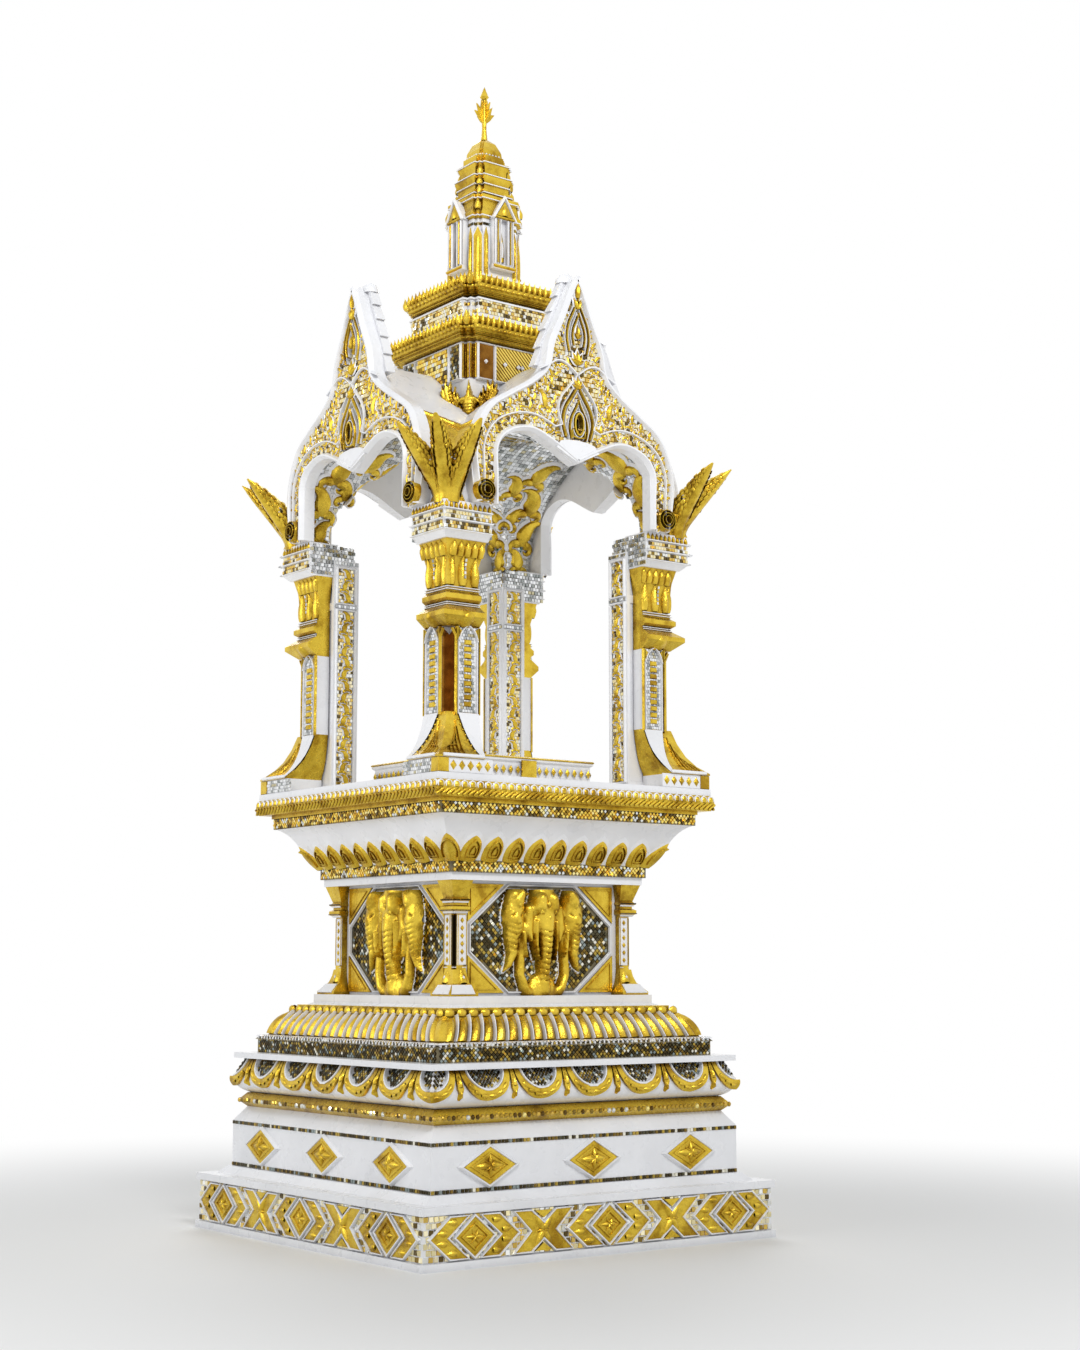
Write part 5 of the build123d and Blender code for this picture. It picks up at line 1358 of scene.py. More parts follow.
class SHRINE_OT_columns(bpy.types.Operator):
    """Dress the feet, shafts, rings and capitals of the corner columns"""
    bl_idname = "shrine.columns"
    bl_label = "Columns"

    def execute(self, context):
        feet, capital = skin("column_feet"), skin("column_capitals")
        white, gold, strips, ground, amber, studs, caps, silver = [], [], [], [], [], [], [], []
        top = SHAFT_TOP - FOOT_TOP
        for way in (-1, 1):
            # Foot: a white wedge beside the gold flame, with ribs on the gold
            wedge = []
            for t in np.arange(7) / 6:
                z = 3 + t * (FOOT_TOP - PLATE_TOP - 5)
                wedge += [(way * (252 + 29 * (1 - t) ** 1.6), z, 3), (way * (292 + 20 * t), z, 3)]
            white.append(laid((np.array(wedge), grid_faces(7, 2)), feet, PLATE_TOP))
            for n in range(5):
                path = [(way * (322 + 5 * n), 96 - 16 * n), (way * (327 + 11 * n), 46 - 5 * n),
                        (way * (335 + 13 * n), 7)]
                gold.append(laid(bar(smooth_path(path, 3), 3, 4, bevel=0.4), feet, PLATE_TOP))
            path = [(way * 285, 4), (way * 398, 4)]
            white.append(laid(bar(smooth_path(path, 8), 6, 5), feet, PLATE_TOP))
            studs += [seat_on(feet, way * (296 + 3 * n), PLATE_TOP + (20 + 13 * n)) for n in range(7)]
            # Shaft: a strip of pale glass in a white frame, between gold edges
            face = wall(SHAFT_HALF, FOOT_TOP, 0, way * 285)
            for store, x, width in ((white, 27, 5), (gold, 33, 6)):
                store += [moved(bar([(side, -4), (side, top)], width, width), face) for side in (-x, x)]
            strips += [face @ to(0, 12 + (n + 0.5) * (top - 40) / 10, 2) for n in range(10)]
            ground += tiles(face @ to(0, top / 2), 46, top, 7.6, 7.6)
            arch = [(-27, top - 34), (-19, top - 12), (0, top + 3), (19, top - 12), (27, top - 34)]
            white.append(moved(bar(smooth_path(arch, 4), 4, 8), face))
            gold.append(moved(plate([(-30, top - 32), (-19, top - 10), (-30, top + 2)], 5), face))
            gold.append(moved(plate([(30, top - 32), (30, top + 2), (19, top - 10)], 5), face))
            gold.append(laid(petal(40, 34, 5, spade, rib=2), skin("column_rings"), SHAFT_TOP + 1, way * 297))
            # Corner: a long amber panel, pointed at both ends, with bright edges
            notch = wall(SHAFT_HALF - 24, FOOT_TOP, 0, way * 331)
            pane = [(-10, 4), (10, -14), (10, top - 2), (-10, top - 18)]
            pane = [(x * way, y) for x, y in pane[::way]]
            amber.append(moved(plate(pane, 2.5), notch))
            gold.append(moved(bar([(way * 34, -6), (way * 34, top - 22), (way * 46, top - 4)], 5, 6), face))
            # Rings: pairs of white lines
            for z, half in ((51, 346), (56, 345), (88, 345), (94, 344)):
                white.append(moved(bar([(way * 252, 0), (way * half, 0)], 3, 3), wall(half, SHAFT_TOP + z)))
            # Capital: long petals, short ones on top and a silver strip in the middle
            for x, size in ((262, 0.9), (297, 1), (329, 0.8)):
                caps.append(laid(petal(32 * size, 80, 10, ogee, rib=3), capital, RING_TOP + 6, way * x))
            for n in range(5):
                shape = petal(21, 36, 9, teardrop, rib=2, rows=7, across=6)
                caps.append(laid(shape, capital, CAPITAL_TOP - 38, way * (250 + 20 * n)))
            silver += [seat_on(capital, way * 297, RING_TOP + 26 + 10 * n, -10) for n in range(5)]
        caps.append(cornered(petal(26, 76, 9, ogee, rib=2), capital, RING_TOP + 6, 297))
        carved("column_edges", white, "white")
        carved("column_ribs", gold, "gold")
        carved("column_panes", amber, "amber")
        copies("shaft_tiles", block(7, 7, 2), ground, "silver_mirror", tilt=0.08, seed=25)
        carved("capital_petals", caps, "gold")
        copies("foot_studs", ball(6, 6, 3, 8, 3), studs, "gold")
        copies("capital_strips", block(6, 8, 2), silver, "silver_mirror", tilt=0.06, seed=23)
        copies("shaft_panes", block(21, 13, 4, 0.72), strips, "gold", tilt=0.03, seed=24)
        # Plates: silver mosaic on the left and right, diamonds on the front and back
        mosaic, diamonds, slabs, posts = [], [], [], []
        for way in (-1, 1):
            seat = wall(PLATE_HALF, DECK_TOP + (PLATE_TOP - DECK_TOP) / 2, 0, way * 320)
            mosaic += [quarter(k) @ tile for k in (1, 3) for tile in tiles(seat, 122, 32, 8, 8)]
            diamonds += [quarter(k) @ seat @ to((n - 2) * 24, 0, 1) for k in (0, 2) for n in range(5)]
            slabs += [moved(block(124, 33, 1.5, 1), quarter(k) @ seat) for k in (0, 2)]
            posts.append(moved(block(30, 34, 3, 0.94), wall(PLATE_HALF, DECK_TOP + 17.5, 0, way * 396)))
        carved("plate_posts", posts, "gold")
        copies("plate_tiles", block(7.2, 7.2, 2), mosaic, "silver_mirror", sides=1, tilt=0.1, seed=26)
        copies("plate_diamonds", diamond(20, 26, 4, 0.5), diamonds, "gold", sides=1)
        carved("plate_faces", slabs, "white", sides=1)
        return {"FINISHED"}


class SHRINE_OT_abacuses(bpy.types.Operator):
    """Band the abacuses with mosaic between white lines"""
    bl_idname = "shrine.abacuses"
    bl_label = "Abacuses"

    def execute(self, context):
        places, lines, leaves = [], [], []
        for way in (-1, 1):
            for level, height in ((1678, 18), (1703, 20)):
                places += tiles(wall(ABACUS_HALF, level, 0, way * ABACUS_MIDDLE), ABACUS_FIELD, height, 9, 9)
            for level, width, rise in ((1666, 4, 6), (1690, 6, 9), (1716, 5, 7)):
                line = bar([(way * ABACUS_INNER, 0), (way * (376 + rise), 0)], width, rise)
                lines.append(moved(line, wall(ABACUS_HALF, level)))
            leaves += [wall(ABACUS_HALF, 1717, 0, way * (ABACUS_INNER + (n + 0.5) * 13.7))
                       for n in range(10)]
        inside = []
        for k in range(SIDES):
            for way in (-1, 1):
                face = wall(-ABACUS_INNER, SPRINGING - 43, 0, way * ABACUS_MIDDLE)
                inside += [quarter(k) @ tile for tile in tiles(face, ABACUS_FIELD, 80, 10, 10)]
        copies("abacus_inner_tiles", block(9, 9, 2.5), inside, "silver_mirror", sides=1, tilt=0.1, seed=29)
        copies("abacus_tiles", block(8.4, 8.4, 2.5), places, "pale_mirror", tilt=0.12, seed=28)
        carved("abacus_lines", lines, "white")
        copies("abacus_leaves", petal(13, 19, 5, ogee, rows=6, across=5), leaves, "gold")
        return {"FINISHED"}


def spade(t):
    """Half width of a broad leaf with a sharp point, from foot to tip."""
    return np.interp(t, [0, 0.22, 0.45, 0.7, 0.88, 1], [0.78, 1, 0.9, 0.58, 0.25, 0.02])


def step_faces(half, step, count):
    """How far out each front face of a stepped course stands, with its middle and its width."""
    return [(half, 0.0, 2 * (half - count * step))] + [
        (half - n * step, way * (half - (count - n + 0.5) * step), step)
        for n in range(1, count + 1) for way in (-1, 1)]


def scaled(body_path, widths, thick, size, rows):
    """Overlapping scales on both flanks of a tapering body."""
    scales = []
    at = np.linspace(0.08, 0.86, rows)
    share = np.linspace(0, 1, len(body_path))
    for r, t in enumerate(at):
        x, y = np.interp(t, share, body_path[:, 0]), np.interp(t, share, body_path[:, 1])
        ahead = body_path[min(int(t * len(body_path)) + 1, len(body_path) - 1)] - (x, y)
        heading = degrees(atan2(ahead[1], ahead[0])) - 90
        width = np.interp(t, share, widths)
        depth = 0.5 * thick * (width / max(widths)) ** 0.6
        reach = size * (0.5 + 0.5 * width / max(widths))
        spots = max(1, int(0.86 * width / reach))
        for n in range(spots):
            across = (n + 0.5 + 0.25 * (r % 2) - spots / 2) * reach
            lift = depth * sqrt(max(0.05, 1 - (2 * across / width) ** 2)) - 2.2
            turn = radians(heading)
            seat = (to(x + across * cos(turn), y + across * sin(turn), lift)
                    @ turned(heading) @ turned(9, "X"))
            scale = moved(petal(1.2 * reach, 1.5 * reach, 6, spade, rows=4, across=3), seat)
            scales += [scale, flipped(scale, (1, 1, -1))]
    return scales


def serpent():
    """One rearing serpent's head with its flame crest, drawn outward along x and up along y."""
    spine = smooth_path([(4, -2), (10, 34), (40, 72), (80, 110), (120, 145), (157, 175)], 5)
    widths = np.interp(np.linspace(0, 1, len(spine)), [0, 0.2, 0.42, 0.62, 0.82, 1], [66, 72, 64, 48, 28, 3])
    parts = [rod(spine, widths, 54, 12)] + scaled(spine, widths, 54, 13, 15)
    # Flames along the back and a jaw that hangs open below
    back = ((-4, 14, 32, 12), (4, 40, 34, 0), (18, 66, 34, -12), (38, 88, 33, -20), (60, 108, 31, -26),
            (84, 127, 28, -30), (108, 143, 26, -34), (130, 156, 22, -36))
    jaw = ((40, 32, 28, -44), (58, 56, 28, -42), (78, 82, 26, -42), (98, 106, 24, -42), (116, 130, 20, -42))
    for flames, bend, thick in ((back, 34, 18), (jaw, -40, 16)):
        for x, y, reach, turn in flames:
            path = spun(curl(reach, bend, 2, 7), x, y, turn)
            parts.append(rod(path, taper(7, 0.35, 0.75) * 0.5 * reach, thick, 6))
    for way in (-1, 1):
        for x, y, size, turn in ((26, 44, 40, 10), (58, 84, 34, -30), (92, 112, 28, -34)):
            path = spun(curl(size, 330, 1.5, 11), x, y, turn)
            scroll = stroke(path, taper(11, 0.3, 0.6) * 0.34 * size, 0.2 * size)
            scroll = moved(scroll, to(0, 0, 23 - 0.09 * x))
            parts.append(scroll if way > 0 else flipped(scroll, (1, 1, -1)))
    return joined(*parts)


class SHRINE_OT_crests(bpy.types.Operator):
    """Carve the three serpent heads on each abacus corner"""
    bl_idname = "shrine.crests"
    bl_label = "Serpent crests"

    def execute(self, context):
        head = serpent()
        jewels = [moved(ball(width, height, 5, 8, 3), to(x, y, z) @ turned(42))
                  for x, y, width, height, z in ((30, 40, 11, 8, 26), (68, 94, 15, 9, 23))]
        rings = [moved(ball(width, height, 4, 10, 3), to(x, y, z) @ turned(42))
                 for x, y, width, height, z in ((30, 40, 17, 13, 24), (68, 94, 22, 15, 21))]
        for forms in (jewels, rings):
            forms += [flipped(form, (1, 1, -1)) for form in forms]
        heads, eyes, lids = [], [], []
        corner = to(346, 346, SPRINGING)
        for k in range(SIDES):
            for turn, size in ((4, 0.97), (45, 1.0), (86, 0.97)):
                seat = quarter(k) @ corner @ turned(turn) @ turned(90, "X") @ Matrix.Scale(size, 4)
                heads.append(moved(head, seat))
                eyes += [moved(jewel, seat) for jewel in jewels]
                lids += [moved(ring, seat) for ring in rings]
            heads.append(moved(block(60, 60, 22, 0.8), quarter(k) @ corner))
        carved("serpent_crests", heads, "gold", sides=1, nodes=("naga_heads",), smooth=50)
        carved("serpent_eyelids", lids, "white", sides=1)
        carved("serpent_eyes", eyes, "dark_mirror", sides=1)
        return {"FINISHED"}


class SHRINE_OT_valleys(bpy.types.Operator):
    """Gild the valleys between the gables, with ridges along the top edge"""
    bl_idname = "shrine.valleys"
    bl_label = "Gold valleys"

    def execute(self, context):
        surface = skin("front_vault")
        columns, rows = 9, 26
        low, dip, climb = SPRINGING + 4, 1976, 44
        back = GABLE_BACK - 2
        points = []
        for r in range(rows + 1):
            s = 1 - (1 - r / rows) ** 1.7
            ridge = 3 + 7 * exp(-((s - 0.965) / 0.02) ** 2) + 5 * exp(-((s - 0.86) / 0.025) ** 2)
            lift = ridge if r < rows else -3
            for c in range(columns + 1):
                t = c / columns
                level = low + s * (dip + climb * t - low)
                half = -surface.ray_cast(Vector((-FAR, 20 - GABLE_BACK, level)), Vector((1, 0, 0)))[0].x
                crease = 4 * exp(-(t / 0.12) ** 2) if r < rows else 0
                rise = lift + crease
                points.append((-half - rise, -half - rise - t * (back - half - rise), level))
        left = (np.array(points, float), grid_faces(rows + 1, columns + 1))
        right = (left[0][:, (1, 0, 2)], [face[::-1] for face in left[1]])
        carved("valley_gilding", [left, right], "gold", smooth=30)
        return {"FINISHED"}


def tunnel_lining():
    """Half widths and levels of the tunnels' inner curve, and the way along it, from foot to crown."""
    surface = skin("front_vault")
    path = []
    for turn in np.linspace(1, 89, 70):
        a = radians(turn)
        eye, sight = Vector((0, 36 - GABLE_BACK, SPRINGING)), Vector((cos(a), 0, sin(a)))
        hit = surface.ray_cast(eye, sight)[0]
        path.append((hit.x, hit.z))
    path = np.array(path)
    return path, run_of(path)


def on_lining(lining, at, way):
    """Half width, level, and the frame's directions at a distance up the tunnel's inner curve."""
    before, (half, level), after = beside(*lining, at, 2)
    ahead = (after - before) / np.linalg.norm(after - before)
    up = Vector((way * ahead[0], 0, ahead[1]))
    out = Vector((-way * ahead[1], 0, ahead[0]))
    return half, level, up, out


def lined(shape, lining, way, at, depth):
    """A flat form laid on the tunnel's inner curve, some way up the curve and behind the gable."""
    points, faces = shape
    placed = []
    for u, v, rise in points:
        half, level, _, out = on_lining(lining, at + v, way)
        placed.append(Vector((way * half, depth + u - GABLE_BACK, level)) + out * rise)
    return np.array(placed), faces


class SHRINE_OT_vault(bpy.types.Operator):
    """Line the tunnels with silver mosaic and gold scrolls"""
    bl_idname = "shrine.vault"
    bl_label = "Vault lining"

    def execute(self, context):
        lining = tunnel_lining()
        length = lining[1][-1]
        silver, green = [], []
        band_foot, band_top = 1790, 1822
        pitch = 13
        for row in range(int(length / pitch)):
            for way in (-1, 1):
                half, level, up, out = on_lining(lining, (row + 0.5) * pitch, way)
                turn = Matrix((up.cross(out), up, out)).transposed().to_4x4()
                for n in range(int((GABLE_BACK - 6 - half) / pitch) + 1):
                    seat = to(way * half, 26 - GABLE_BACK + (n - 1.5) * pitch, level) @ turn
                    (green if band_foot < level < band_top else silver).append(seat)
        for rows, name, tint in ((silver, "vault_silver", "silver_mirror"),
                                 (green, "vault_band", "green_mirror")):
            copies(name, block(11.8, 11.8, 2), rows, tint, tilt=0.05, seed=31)
        gold, white = [], []
        for at, size, depth, side, swell in (
                (4, 84, 44, 1, 1.45), (76, 112, 42, -1, 1.35), (172, 122, 54, 1, 1.35),
                (276, 112, 92, -1, 1.3), (128, 84, 100, -1, 1.3), (226, 96, 136, 1, 1.3)):
            for way in (-1, 1):
                for store, edge in ((gold, 0.0), (white, 0.05)):
                    shape = flame(size, swell, edge, 11)
                    if side < 0:
                        shape = flipped(shape)
                    if edge == 0:
                        shape = moved(shape, to(0, 0, 2))
                    store.append(lined(moved(shape, to(0, 0, 1.5)), lining, way, at, depth))
        carved("vault_scrolls", gold, "gold")
        carved("vault_scroll_edges", white, "white")
        return {"FINISHED"}


class SHRINE_OT_garudas(bpy.types.Operator):
    """Carve the winged figures on the crown corners"""
    bl_idname = "shrine.garudas"
    bl_label = "Winged figures"

    def execute(self, context):
        wings = both_sides([
            ([(4, 12), (26, 24), (45, 45), (54, 70), (56, 92)], [18, 30, 32, 26, 8], 9),
            ([(44, 56), (50, 82), (47, 106)], [13, 12, 2], 11),
            ([(52, 56), (60, 80), (60, 106)], [13, 12, 2], 11),
            ([(54, 50), (66, 70), (70, 96)], [13, 12, 2], 10),
            ([(50, 40), (64, 56), (73, 80)], [13, 12, 2], 10),
            ([(42, 30), (58, 42), (69, 62)], [13, 12, 2], 9),
            ([(30, 20), (46, 28), (60, 44)], [12, 11, 2], 9),
            ([(30, 44), (38, 66), (36, 92)], [12, 11, 2], 11),
            ([(18, 50), (28, 60), (30, 76)], [11, 10, 2], 12),
            ([(0, 56), (16, 58), (28, 48)], [16, 13, 8], 16),
            ([(8, 32), (17, 20), (11, 8)], [13, 11, 6], 14),
        ])
        body = [([(0, 2), (0, 24)], [5, 24], 14), ([(0, 24), (0, 44), (0, 56)], [24, 36, 34], 20),
                ([(0, 62), (0, 76)], [17, 16], 21), ([(0, 80), (0, 93), (0, 107)], [14, 8, 2], 15)]
        cuts = []
        for inset in (0, 1, 2, 3):
            path = np.array([(12 + 3 * inset, 16 + 7 * inset), (32, 30 + 7 * inset),
                             (46 - 2 * inset, 52 + 6 * inset), (52 - 3 * inset, 78 + 3 * inset)])
            cuts += [(path, 2.6, 2.8), (path * (-1, 1), 2.6, 2.8)]
        cuts += [([(-14, y), (0, y - 3), (14, y)], 2.4, 2.2) for y in (28, 36, 44)]
        shape = relief(wings + body, -76, 0, 152, 109, 1.7, cuts, blend=7)
        out = Vector((1, 1, 0)).normalized()
        run = Vector((-1, 1, 0)).normalized()
        turn = Matrix((run, Vector((0, 0, 1)), out)).transposed().to_4x4()
        away, level = 207, 2007
        seats = [quarter(k) @ to(*(out * away + Vector((0, 0, level)))) @ turn for k in range(SIDES)]
        carved("winged_figures", [moved(shape, seat) for seat in seats], "gold", sides=1,
               nodes=("garudas",), smooth=60)
        return {"FINISHED"}


def hatch(width, height, pitch, bar_width, rise):
    """Slanting bars across a rectangle about its middle."""
    bars = []
    reach = (width + height) / 2
    for c in np.arange(-reach + pitch / 2, reach, pitch):
        x0, x1 = max(-width / 2, c - height / 2), min(width / 2, c + height / 2)
        if x1 - x0 > bar_width:
            bars.append(bar([(x0, c - x0), (x1, c - x1)], bar_width, rise))
    return joined(*bars)


class SHRINE_OT_roof(bpy.types.Operator):
    """Panel the drum, tile the neck and set rows of leaves on the eaves"""
    bl_idname = "shrine.roof"
    bl_label = "Roof courses"

    def execute(self, context):
        self.drum()
        neck = []
        for half, x, width in step_faces(NECK_HALF, ROOF_STEP, 2):
            neck += tiles(wall(half, NECK_FOOT + 38, 0, x), width, 38, 9.5, 9.5)
        copies("neck_tiles", block(9, 9, 2.5), neck, "pale_mirror", tilt=0.12, seed=42)
        bands = [moved(bar(stepped_ring(NECK_HALF + 1, ROOF_STEP, 2), 7, rise, closed=True, bevel=0.12),
                       to(0, 0, level)) for level, rise in ((NECK_FOOT, 17), (NECK_TOP - 6, 5))]
        carved("neck_bands", bands, "white", sides=1)
        leaves, beads, ropes = [], [], []
        for half, foot in ((EAVE_HALF, EAVE_FOOT), (157, NECK_TOP)):
            level = foot + 32
            for face, x, width in step_faces(half, ROOF_STEP, 2):
                count = max(1, round(width / 17))
                for n in range(count):
                    place = x + (n + 0.5 - count / 2) * width / count
                    leaves.append(wall(face - 8, level, 16, place))
                    beads.append(wall(face - 1, level - 5, 0, place))
            corner = turned(-45) @ wall((half - 1.1 * ROOF_STEP) * 1.414, level, 18)
            leaves.append((corner, (1.5, 1.12, 1.4)))
            for at, width in ((4, 5), (12, 4), (24, 5)):
                ring = bar(stepped_ring(half - 12 + 0.5 * at, ROOF_STEP, 2), width, 3.5, closed=True)
                ropes.append(moved(ring, to(0, 0, foot + 2 + at)))
        leaf = joined(petal(14.5, 34, 8, ogee, rib=3, rows=8, across=7),
                      moved(petal(14.5, 34, 3, ogee, rows=8, across=3), turned(180, "Y")))
        copies("eave_leaves", leaf, leaves, "gold", nodes=("eave_crests",))
        copies("eave_beads", ball(14, 10, 7, 8, 3), beads, "gold")
        carved("eave_lines", ropes, "gold", sides=1)
        return {"FINISHED"}

    def drum(self):
        """Mosaic on the left and right faces, a gold lattice on the front and back, and amber corners."""
        middle = (DRUM_FOOT + DRUM_TOP) / 2
        high = DRUM_TOP - DRUM_FOOT - 10
        face = wall(DRUM_HALF, middle)
        field = tiles(face, 146, high, 11.2, 11.2)
        mosaic = [quarter(k) @ tile for k in (1, 3) for tile in field]
        narrow, frames, ribs, amber, flowers = [], [], [], [], []
        ground = plate([(-73, -high / 2), (73, -high / 2), (73, high / 2), (-73, high / 2)], 1.5)
        bars = hatch(146, high, 11, 2.6, 3.5)
        lattice, grounds = ([moved(form, face, quarter(k)) for k in (0, 2)] for form in (bars, ground))
        for way in (-1, 1):
            near = wall(DRUM_HALF, middle, 0, way * 106)
            narrow += [quarter(k) @ tile for k in (1, 3) for tile in tiles(near, 46, high, 9, 9)]
            for k in (0, 2):
                amber.append(moved(block(47, high, 2, 0.97), quarter(k) @ near))
                for x, size, lift in ((0, 13, 2), (-58, 14, 5), (-100, 14, 5)):
                    seat = near @ to(way * x, 0, lift)
                    flowers.append(moved(diamond(size, size, 4), quarter(k) @ seat))
            for x, width in ((130, 5), (78, 7)):
                frames.append(bar([(way * x, DRUM_FOOT), (way * x, DRUM_TOP - 3)], width, 6))
            for y in (DRUM_TOP - 4, DRUM_FOOT + 3):
                frames.append(bar([(0, y), (way * 131, y)], 4, 6))
        for half, x, width in step_faces(DRUM_HALF, ROOF_STEP, 2)[1:]:
            seat = wall(half, middle, 0, x)
            amber.append(on_sides(moved(block(width - 1, high, 2, 0.96), seat)))
            ribs += [moved(bar([(dx, -high / 2), (dx, high / 2)], 3, 5), seat) for dx in (-5, 5)]
        copies("drum_mosaic", block(10.6, 10.6, 3), mosaic, "gold_mirror", sides=1, tilt=0.14, seed=41)
        copies("drum_strips", block(8.4, 8.4, 2.5), narrow, "dark_mirror", sides=1, tilt=0.12, seed=44)
        carved("drum_lattice", lattice, "gold", sides=1)
        carved("lattice_ground", grounds, "gold_mirror", sides=1, tint=0.5)
        carved("drum_frames", frames, "white", wall(DRUM_HALF))
        carved("drum_flowers", flowers, "white", sides=1)
        carved("drum_ribs", ribs, "gold")
        carved("drum_amber", amber, "amber", sides=1)


class SHRINE_OT_tower(bpy.types.Operator):
    """Dress the tower, its niche houses and the prang"""
    bl_idname = "shrine.tower"
    bl_label = "Tower"

    def execute(self, context):
        white, gold, mosaic = [], [], []
        # The lowest course of the prang stands on the tower's shoulders, between the niche houses
        course = [(66, 2584), (77, 2588), (80, 2595), (80, 2603), (75, 2610), (71, 2638), (76, 2644),
                  (76, 2652), (55, 2656)]
        gold.append(stepped_course(course, 9, 2))
        for level, half in ((2591, 80), (2641, 75), (2661, 64), (2688, 59), (2712, 63), (2748, 59)):
            ring = bar(stepped_ring(half, 9, 2), 4, 3, closed=True)
            white.append(moved(ring, to(0, 0, level)))
        corner, wall_half = turned(-45), 72
        sides, edges = [], []
        foot = TOWER_FOOT + 18
        for width, seat in ((16, wall(wall_half, foot, 0, -45.5)), (16, wall(wall_half, foot, 0, 45.5)),
                            (25, corner @ wall(89.2, foot))):
            strip = np.array([(-0.5, 0), (0.5, 0), (0.5, 118), (0, 142), (-0.5, 118)]) * (width - 3, 1)
            sides.append(moved(plate(strip, 4), seat))
            sides.append(moved(petal(0.6 * width, 132, 8, lancet, rib=2), seat @ to(0, 2)))
            edges.append(moved(plate(strip * (1.25, 1.02), 2), seat))
        for level, reach, half in ((2610, 30, 103), (PRANG_FOOT + 8, 26, 79), (PRANG_FOOT + 34, 24, 77),
                                   (PRANG_FOOT + 62, 30, 70)):
            sides.append(moved(petal(17, reach, 6, spade, rib=3), corner @ wall(half - 6, level)))
        for face, x, width in step_faces(wall_half, 9, 2):
            mosaic += tiles(wall(face, 2572, 0, x), width, 8.5, 8.5, 8.5)
        copies("tower_tiles", block(7.6, 7.6, 2), mosaic, "dark_mirror", tilt=0.1, seed=43)
        niche = wall(93, TOWER_FOOT, 0)
        sides.append(moved(petal(20, 84, 5, spade, rib=2), wall(79.5, TOWER_FOOT + 70)))
        edges.append(moved(petal(8, 50, 8, tongue), wall(80, TOWER_FOOT + 82)))
        sides += [moved(form, niche) for form in (bar([(-34, 54), (34, 54)], 9, 5), bar(
            [(-32, 187), (32, 187)], 8, 5), plate([(-26, 191), (26, 191), (0, 232)], 3))]
        sides.append(moved(petal(24, 32, 6, spade, rib=2), wall(95, TOWER_FOOT + 192)))
        edges.append(moved(bar([(-36, 182), (0, 243), (36, 182)], 7, 7), niche))
        for x in (-20, 20):
            sides.append(moved(bar([(x, 64), (x, 180)], 4, 3), niche))
            edges += [moved(bar([(x + dx, 60), (x + dx, 182)], 3.5, 3), niche) for dx in (-8, 8)]
        carved("tower_edges", [*white, on_sides(joined(*edges))], "white", sides=1)
        carved("tower_carving", [*gold, on_sides(joined(*sides))], "gold", sides=1)
        # White beads round the foot of the cap
        cap = [wall(face, PRANG_TOP + 5, 0, x + dx) for face, x, width in step_faces(CAP_HALF, 6, 2)
               for dx in (np.arange(-20, 21, 10) if width > 20 else (0,))]
        copies("cap_beads", ball(6, 6, 4, 8, 3), cap, "white")
        return {"FINISHED"}


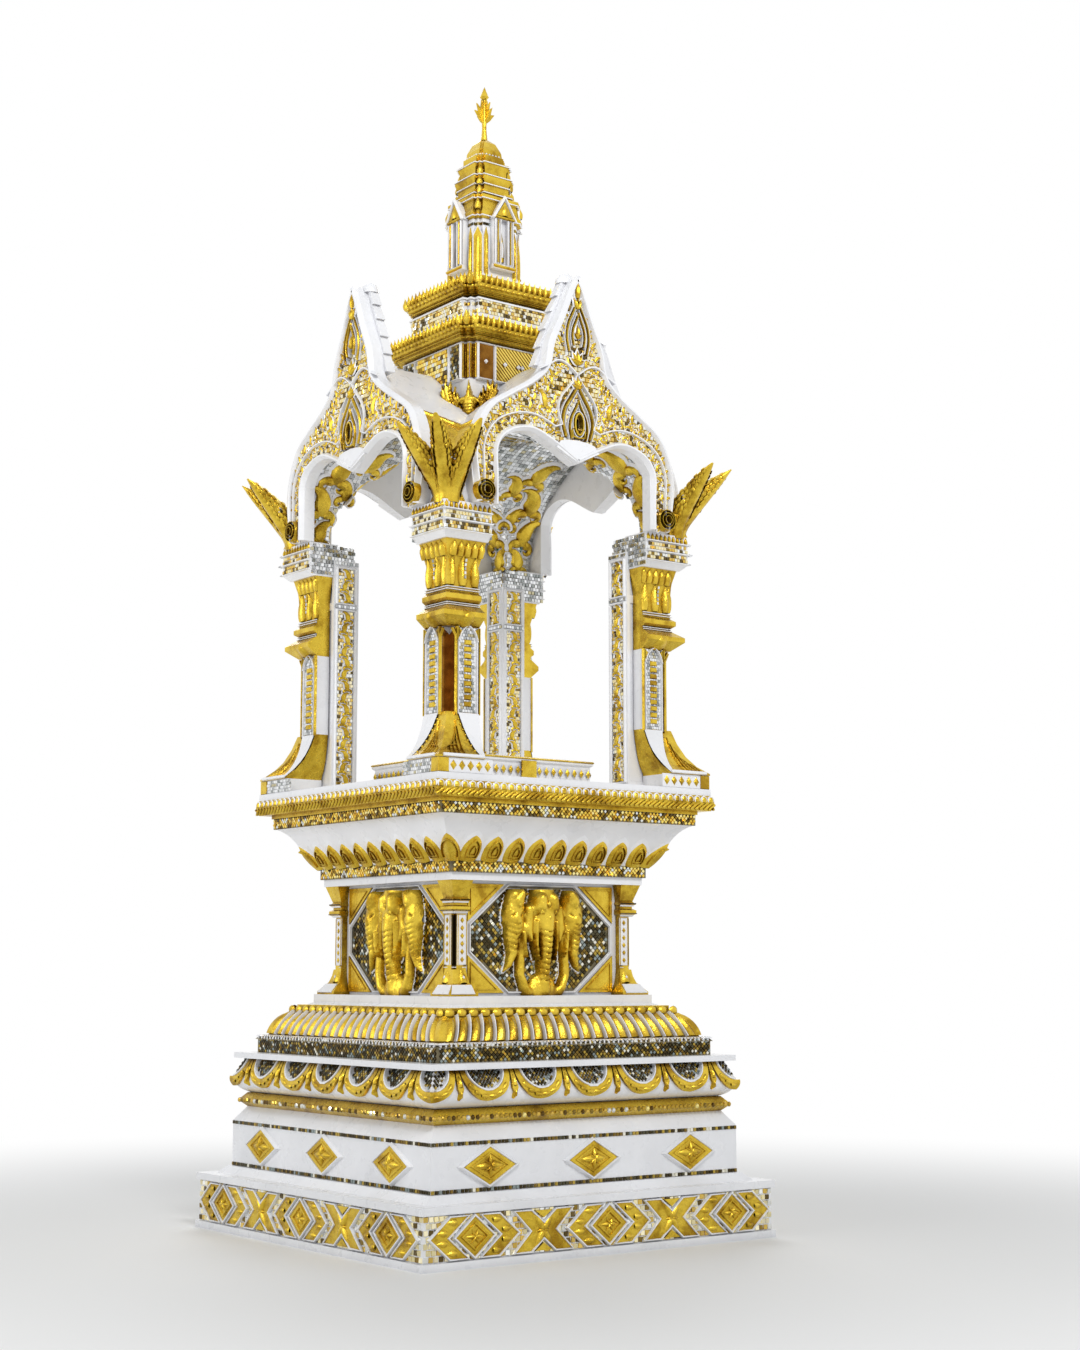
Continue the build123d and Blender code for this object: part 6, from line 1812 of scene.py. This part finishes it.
class SHRINE_OT_stage(bpy.types.Operator):
    """Set the floor, the lamps and the camera"""
    bl_idname = "shrine.stage"
    bl_label = "Floor, light and camera"

    def execute(self, context):
        scene = context.scene
        scene.view_settings.view_transform = "Standard"
        self.floor()
        self.sky(scene)
        self.lamps()
        camera = shown("camera", bpy.data.cameras.new("camera"))
        camera.location = (-3.0398, -4.3061, 0.6417)
        camera.rotation_euler = (radians(90 + 8.117), 0, radians(-36.84))
        camera.data.lens = 55.16
        camera.data.sensor_width = 36
        scene.camera = camera
        return {"FINISHED"}

    def floor(self):
        """A pale floor that fades to white away from the shrine."""
        mesh = bpy.data.meshes.new("floor")
        reach = 60
        mesh.from_pydata([(-reach, -reach, 0), (reach, -reach, 0), (reach, reach, 0), (-reach, reach, 0)], [],
                         [(0, 1, 2, 3)])
        material, tree, matt = shader("pale_floor")
        matt.inputs["Base Color"].default_value = (0.8, 0.8, 0.79, 1)
        matt.inputs["Roughness"].default_value = 0.7
        spot = node(tree, "ShaderNodeTexCoord").outputs["Object"]
        away = node(tree, "ShaderNodeVectorMath", {0: spot}, operation="LENGTH").outputs["Value"]
        fade = node(tree, "ShaderNodeMapRange", {"From Min": 1.0, "From Max": 3.4, "Value": away},
                    interpolation_type="SMOOTHSTEP")
        mix = node(tree, "ShaderNodeMixShader", {
            "Fac": fade, 1: matt, 2: node(tree, "ShaderNodeEmission")})
        tree.links.new(mix.outputs["Shader"], tree.nodes["Material Output"].inputs["Surface"])
        mesh.materials.append(material)
        shown("floor", mesh)

    def sky(self, scene):
        """Even light from all round, and white where the camera or a mirror sees the sky."""
        scene.world = bpy.data.worlds.new("sky")
        scene.world.use_nodes = True
        tree = scene.world.node_tree
        light = tree.nodes["Background"]
        light.inputs["Color"].default_value = (0.93, 0.96, 1, 1)
        light.inputs["Strength"].default_value = 0.4
        seen = node(tree, "ShaderNodeBackground", {"Color": (1, 1, 1, 1), "Strength": 1.0})
        rays = node(tree, "ShaderNodeLightPath").outputs
        white_for = rays["Is Camera Ray"]
        for ray in ("Is Transmission Ray", "Is Glossy Ray"):
            white_for = node(tree, "ShaderNodeMath", {0: white_for, 1: rays[ray]}, operation="MAXIMUM")
        mix = node(tree, "ShaderNodeMixShader", {"Fac": white_for, 1: light, 2: seen})
        tree.links.new(mix.outputs["Shader"], tree.nodes["World Output"].inputs["Surface"])

    def lamps(self):
        """A soft key from the front, a fill from the left and a light from behind."""
        for name, place, size, power in (
                ("key", (-1.4, -4.6, 4.8), 1.6, 150), ("fill", (-4.8, 0.4, 2.4), 2.6, 55),
                ("back", (2.6, 4.2, 4.5), 3.0, 90)):
            holder = shown(name, bpy.data.lights.new(name, "AREA"))
            holder.data.energy = power
            holder.data.size = size
            holder.location = place
            aim = Vector((0, 0, 1.3)) - Vector(place)
            holder.rotation_euler = aim.to_track_quat("-Z", "Y").to_euler()


class SHRINE_PT_panel(bpy.types.Panel):
    """Lists the steps that dress the spirit house"""
    bl_label = "Spirit house"
    bl_idname = "SHRINE_PT_panel"
    bl_space_type = "VIEW_3D"
    bl_region_type = "UI"
    bl_category = "Spirit house"

    def draw(self, context):
        for group in (context.scene.shrine_colours, context.scene.shrine_sizes):
            for name in group.__annotations__:
                self.layout.prop(group, name)
        for step in STEPS:
            self.layout.operator(step.bl_idname)


STEPS = (
    SHRINE_OT_paint, SHRINE_OT_plinth, SHRINE_OT_block, SHRINE_OT_garlands, SHRINE_OT_bands, SHRINE_OT_lotus,
    SHRINE_OT_dado, SHRINE_OT_elephants, SHRINE_OT_cornice, SHRINE_OT_torus, SHRINE_OT_piers,
    SHRINE_OT_columns, SHRINE_OT_abacuses, SHRINE_OT_crests, SHRINE_OT_gables, SHRINE_OT_valleys,
    SHRINE_OT_vault, SHRINE_OT_garudas, SHRINE_OT_roof, SHRINE_OT_tower, SHRINE_OT_stage)
CLASSES = (ShrineColours, ShrineSizes, *STEPS, SHRINE_PT_panel)


def register():
    for item in CLASSES:
        bpy.utils.register_class(item)
    bpy.types.Scene.shrine_colours = bpy.props.PointerProperty(type=ShrineColours)
    bpy.types.Scene.shrine_sizes = bpy.props.PointerProperty(type=ShrineSizes)


def unregister():
    del bpy.types.Scene.shrine_sizes
    del bpy.types.Scene.shrine_colours
    for item in reversed(CLASSES):
        bpy.utils.unregister_class(item)


def main():
    register()
    for step in STEPS:
        group, name = step.bl_idname.split(".")
        getattr(getattr(bpy.ops, group), name)()
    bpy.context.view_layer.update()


if __name__ == "__main__":
    main()
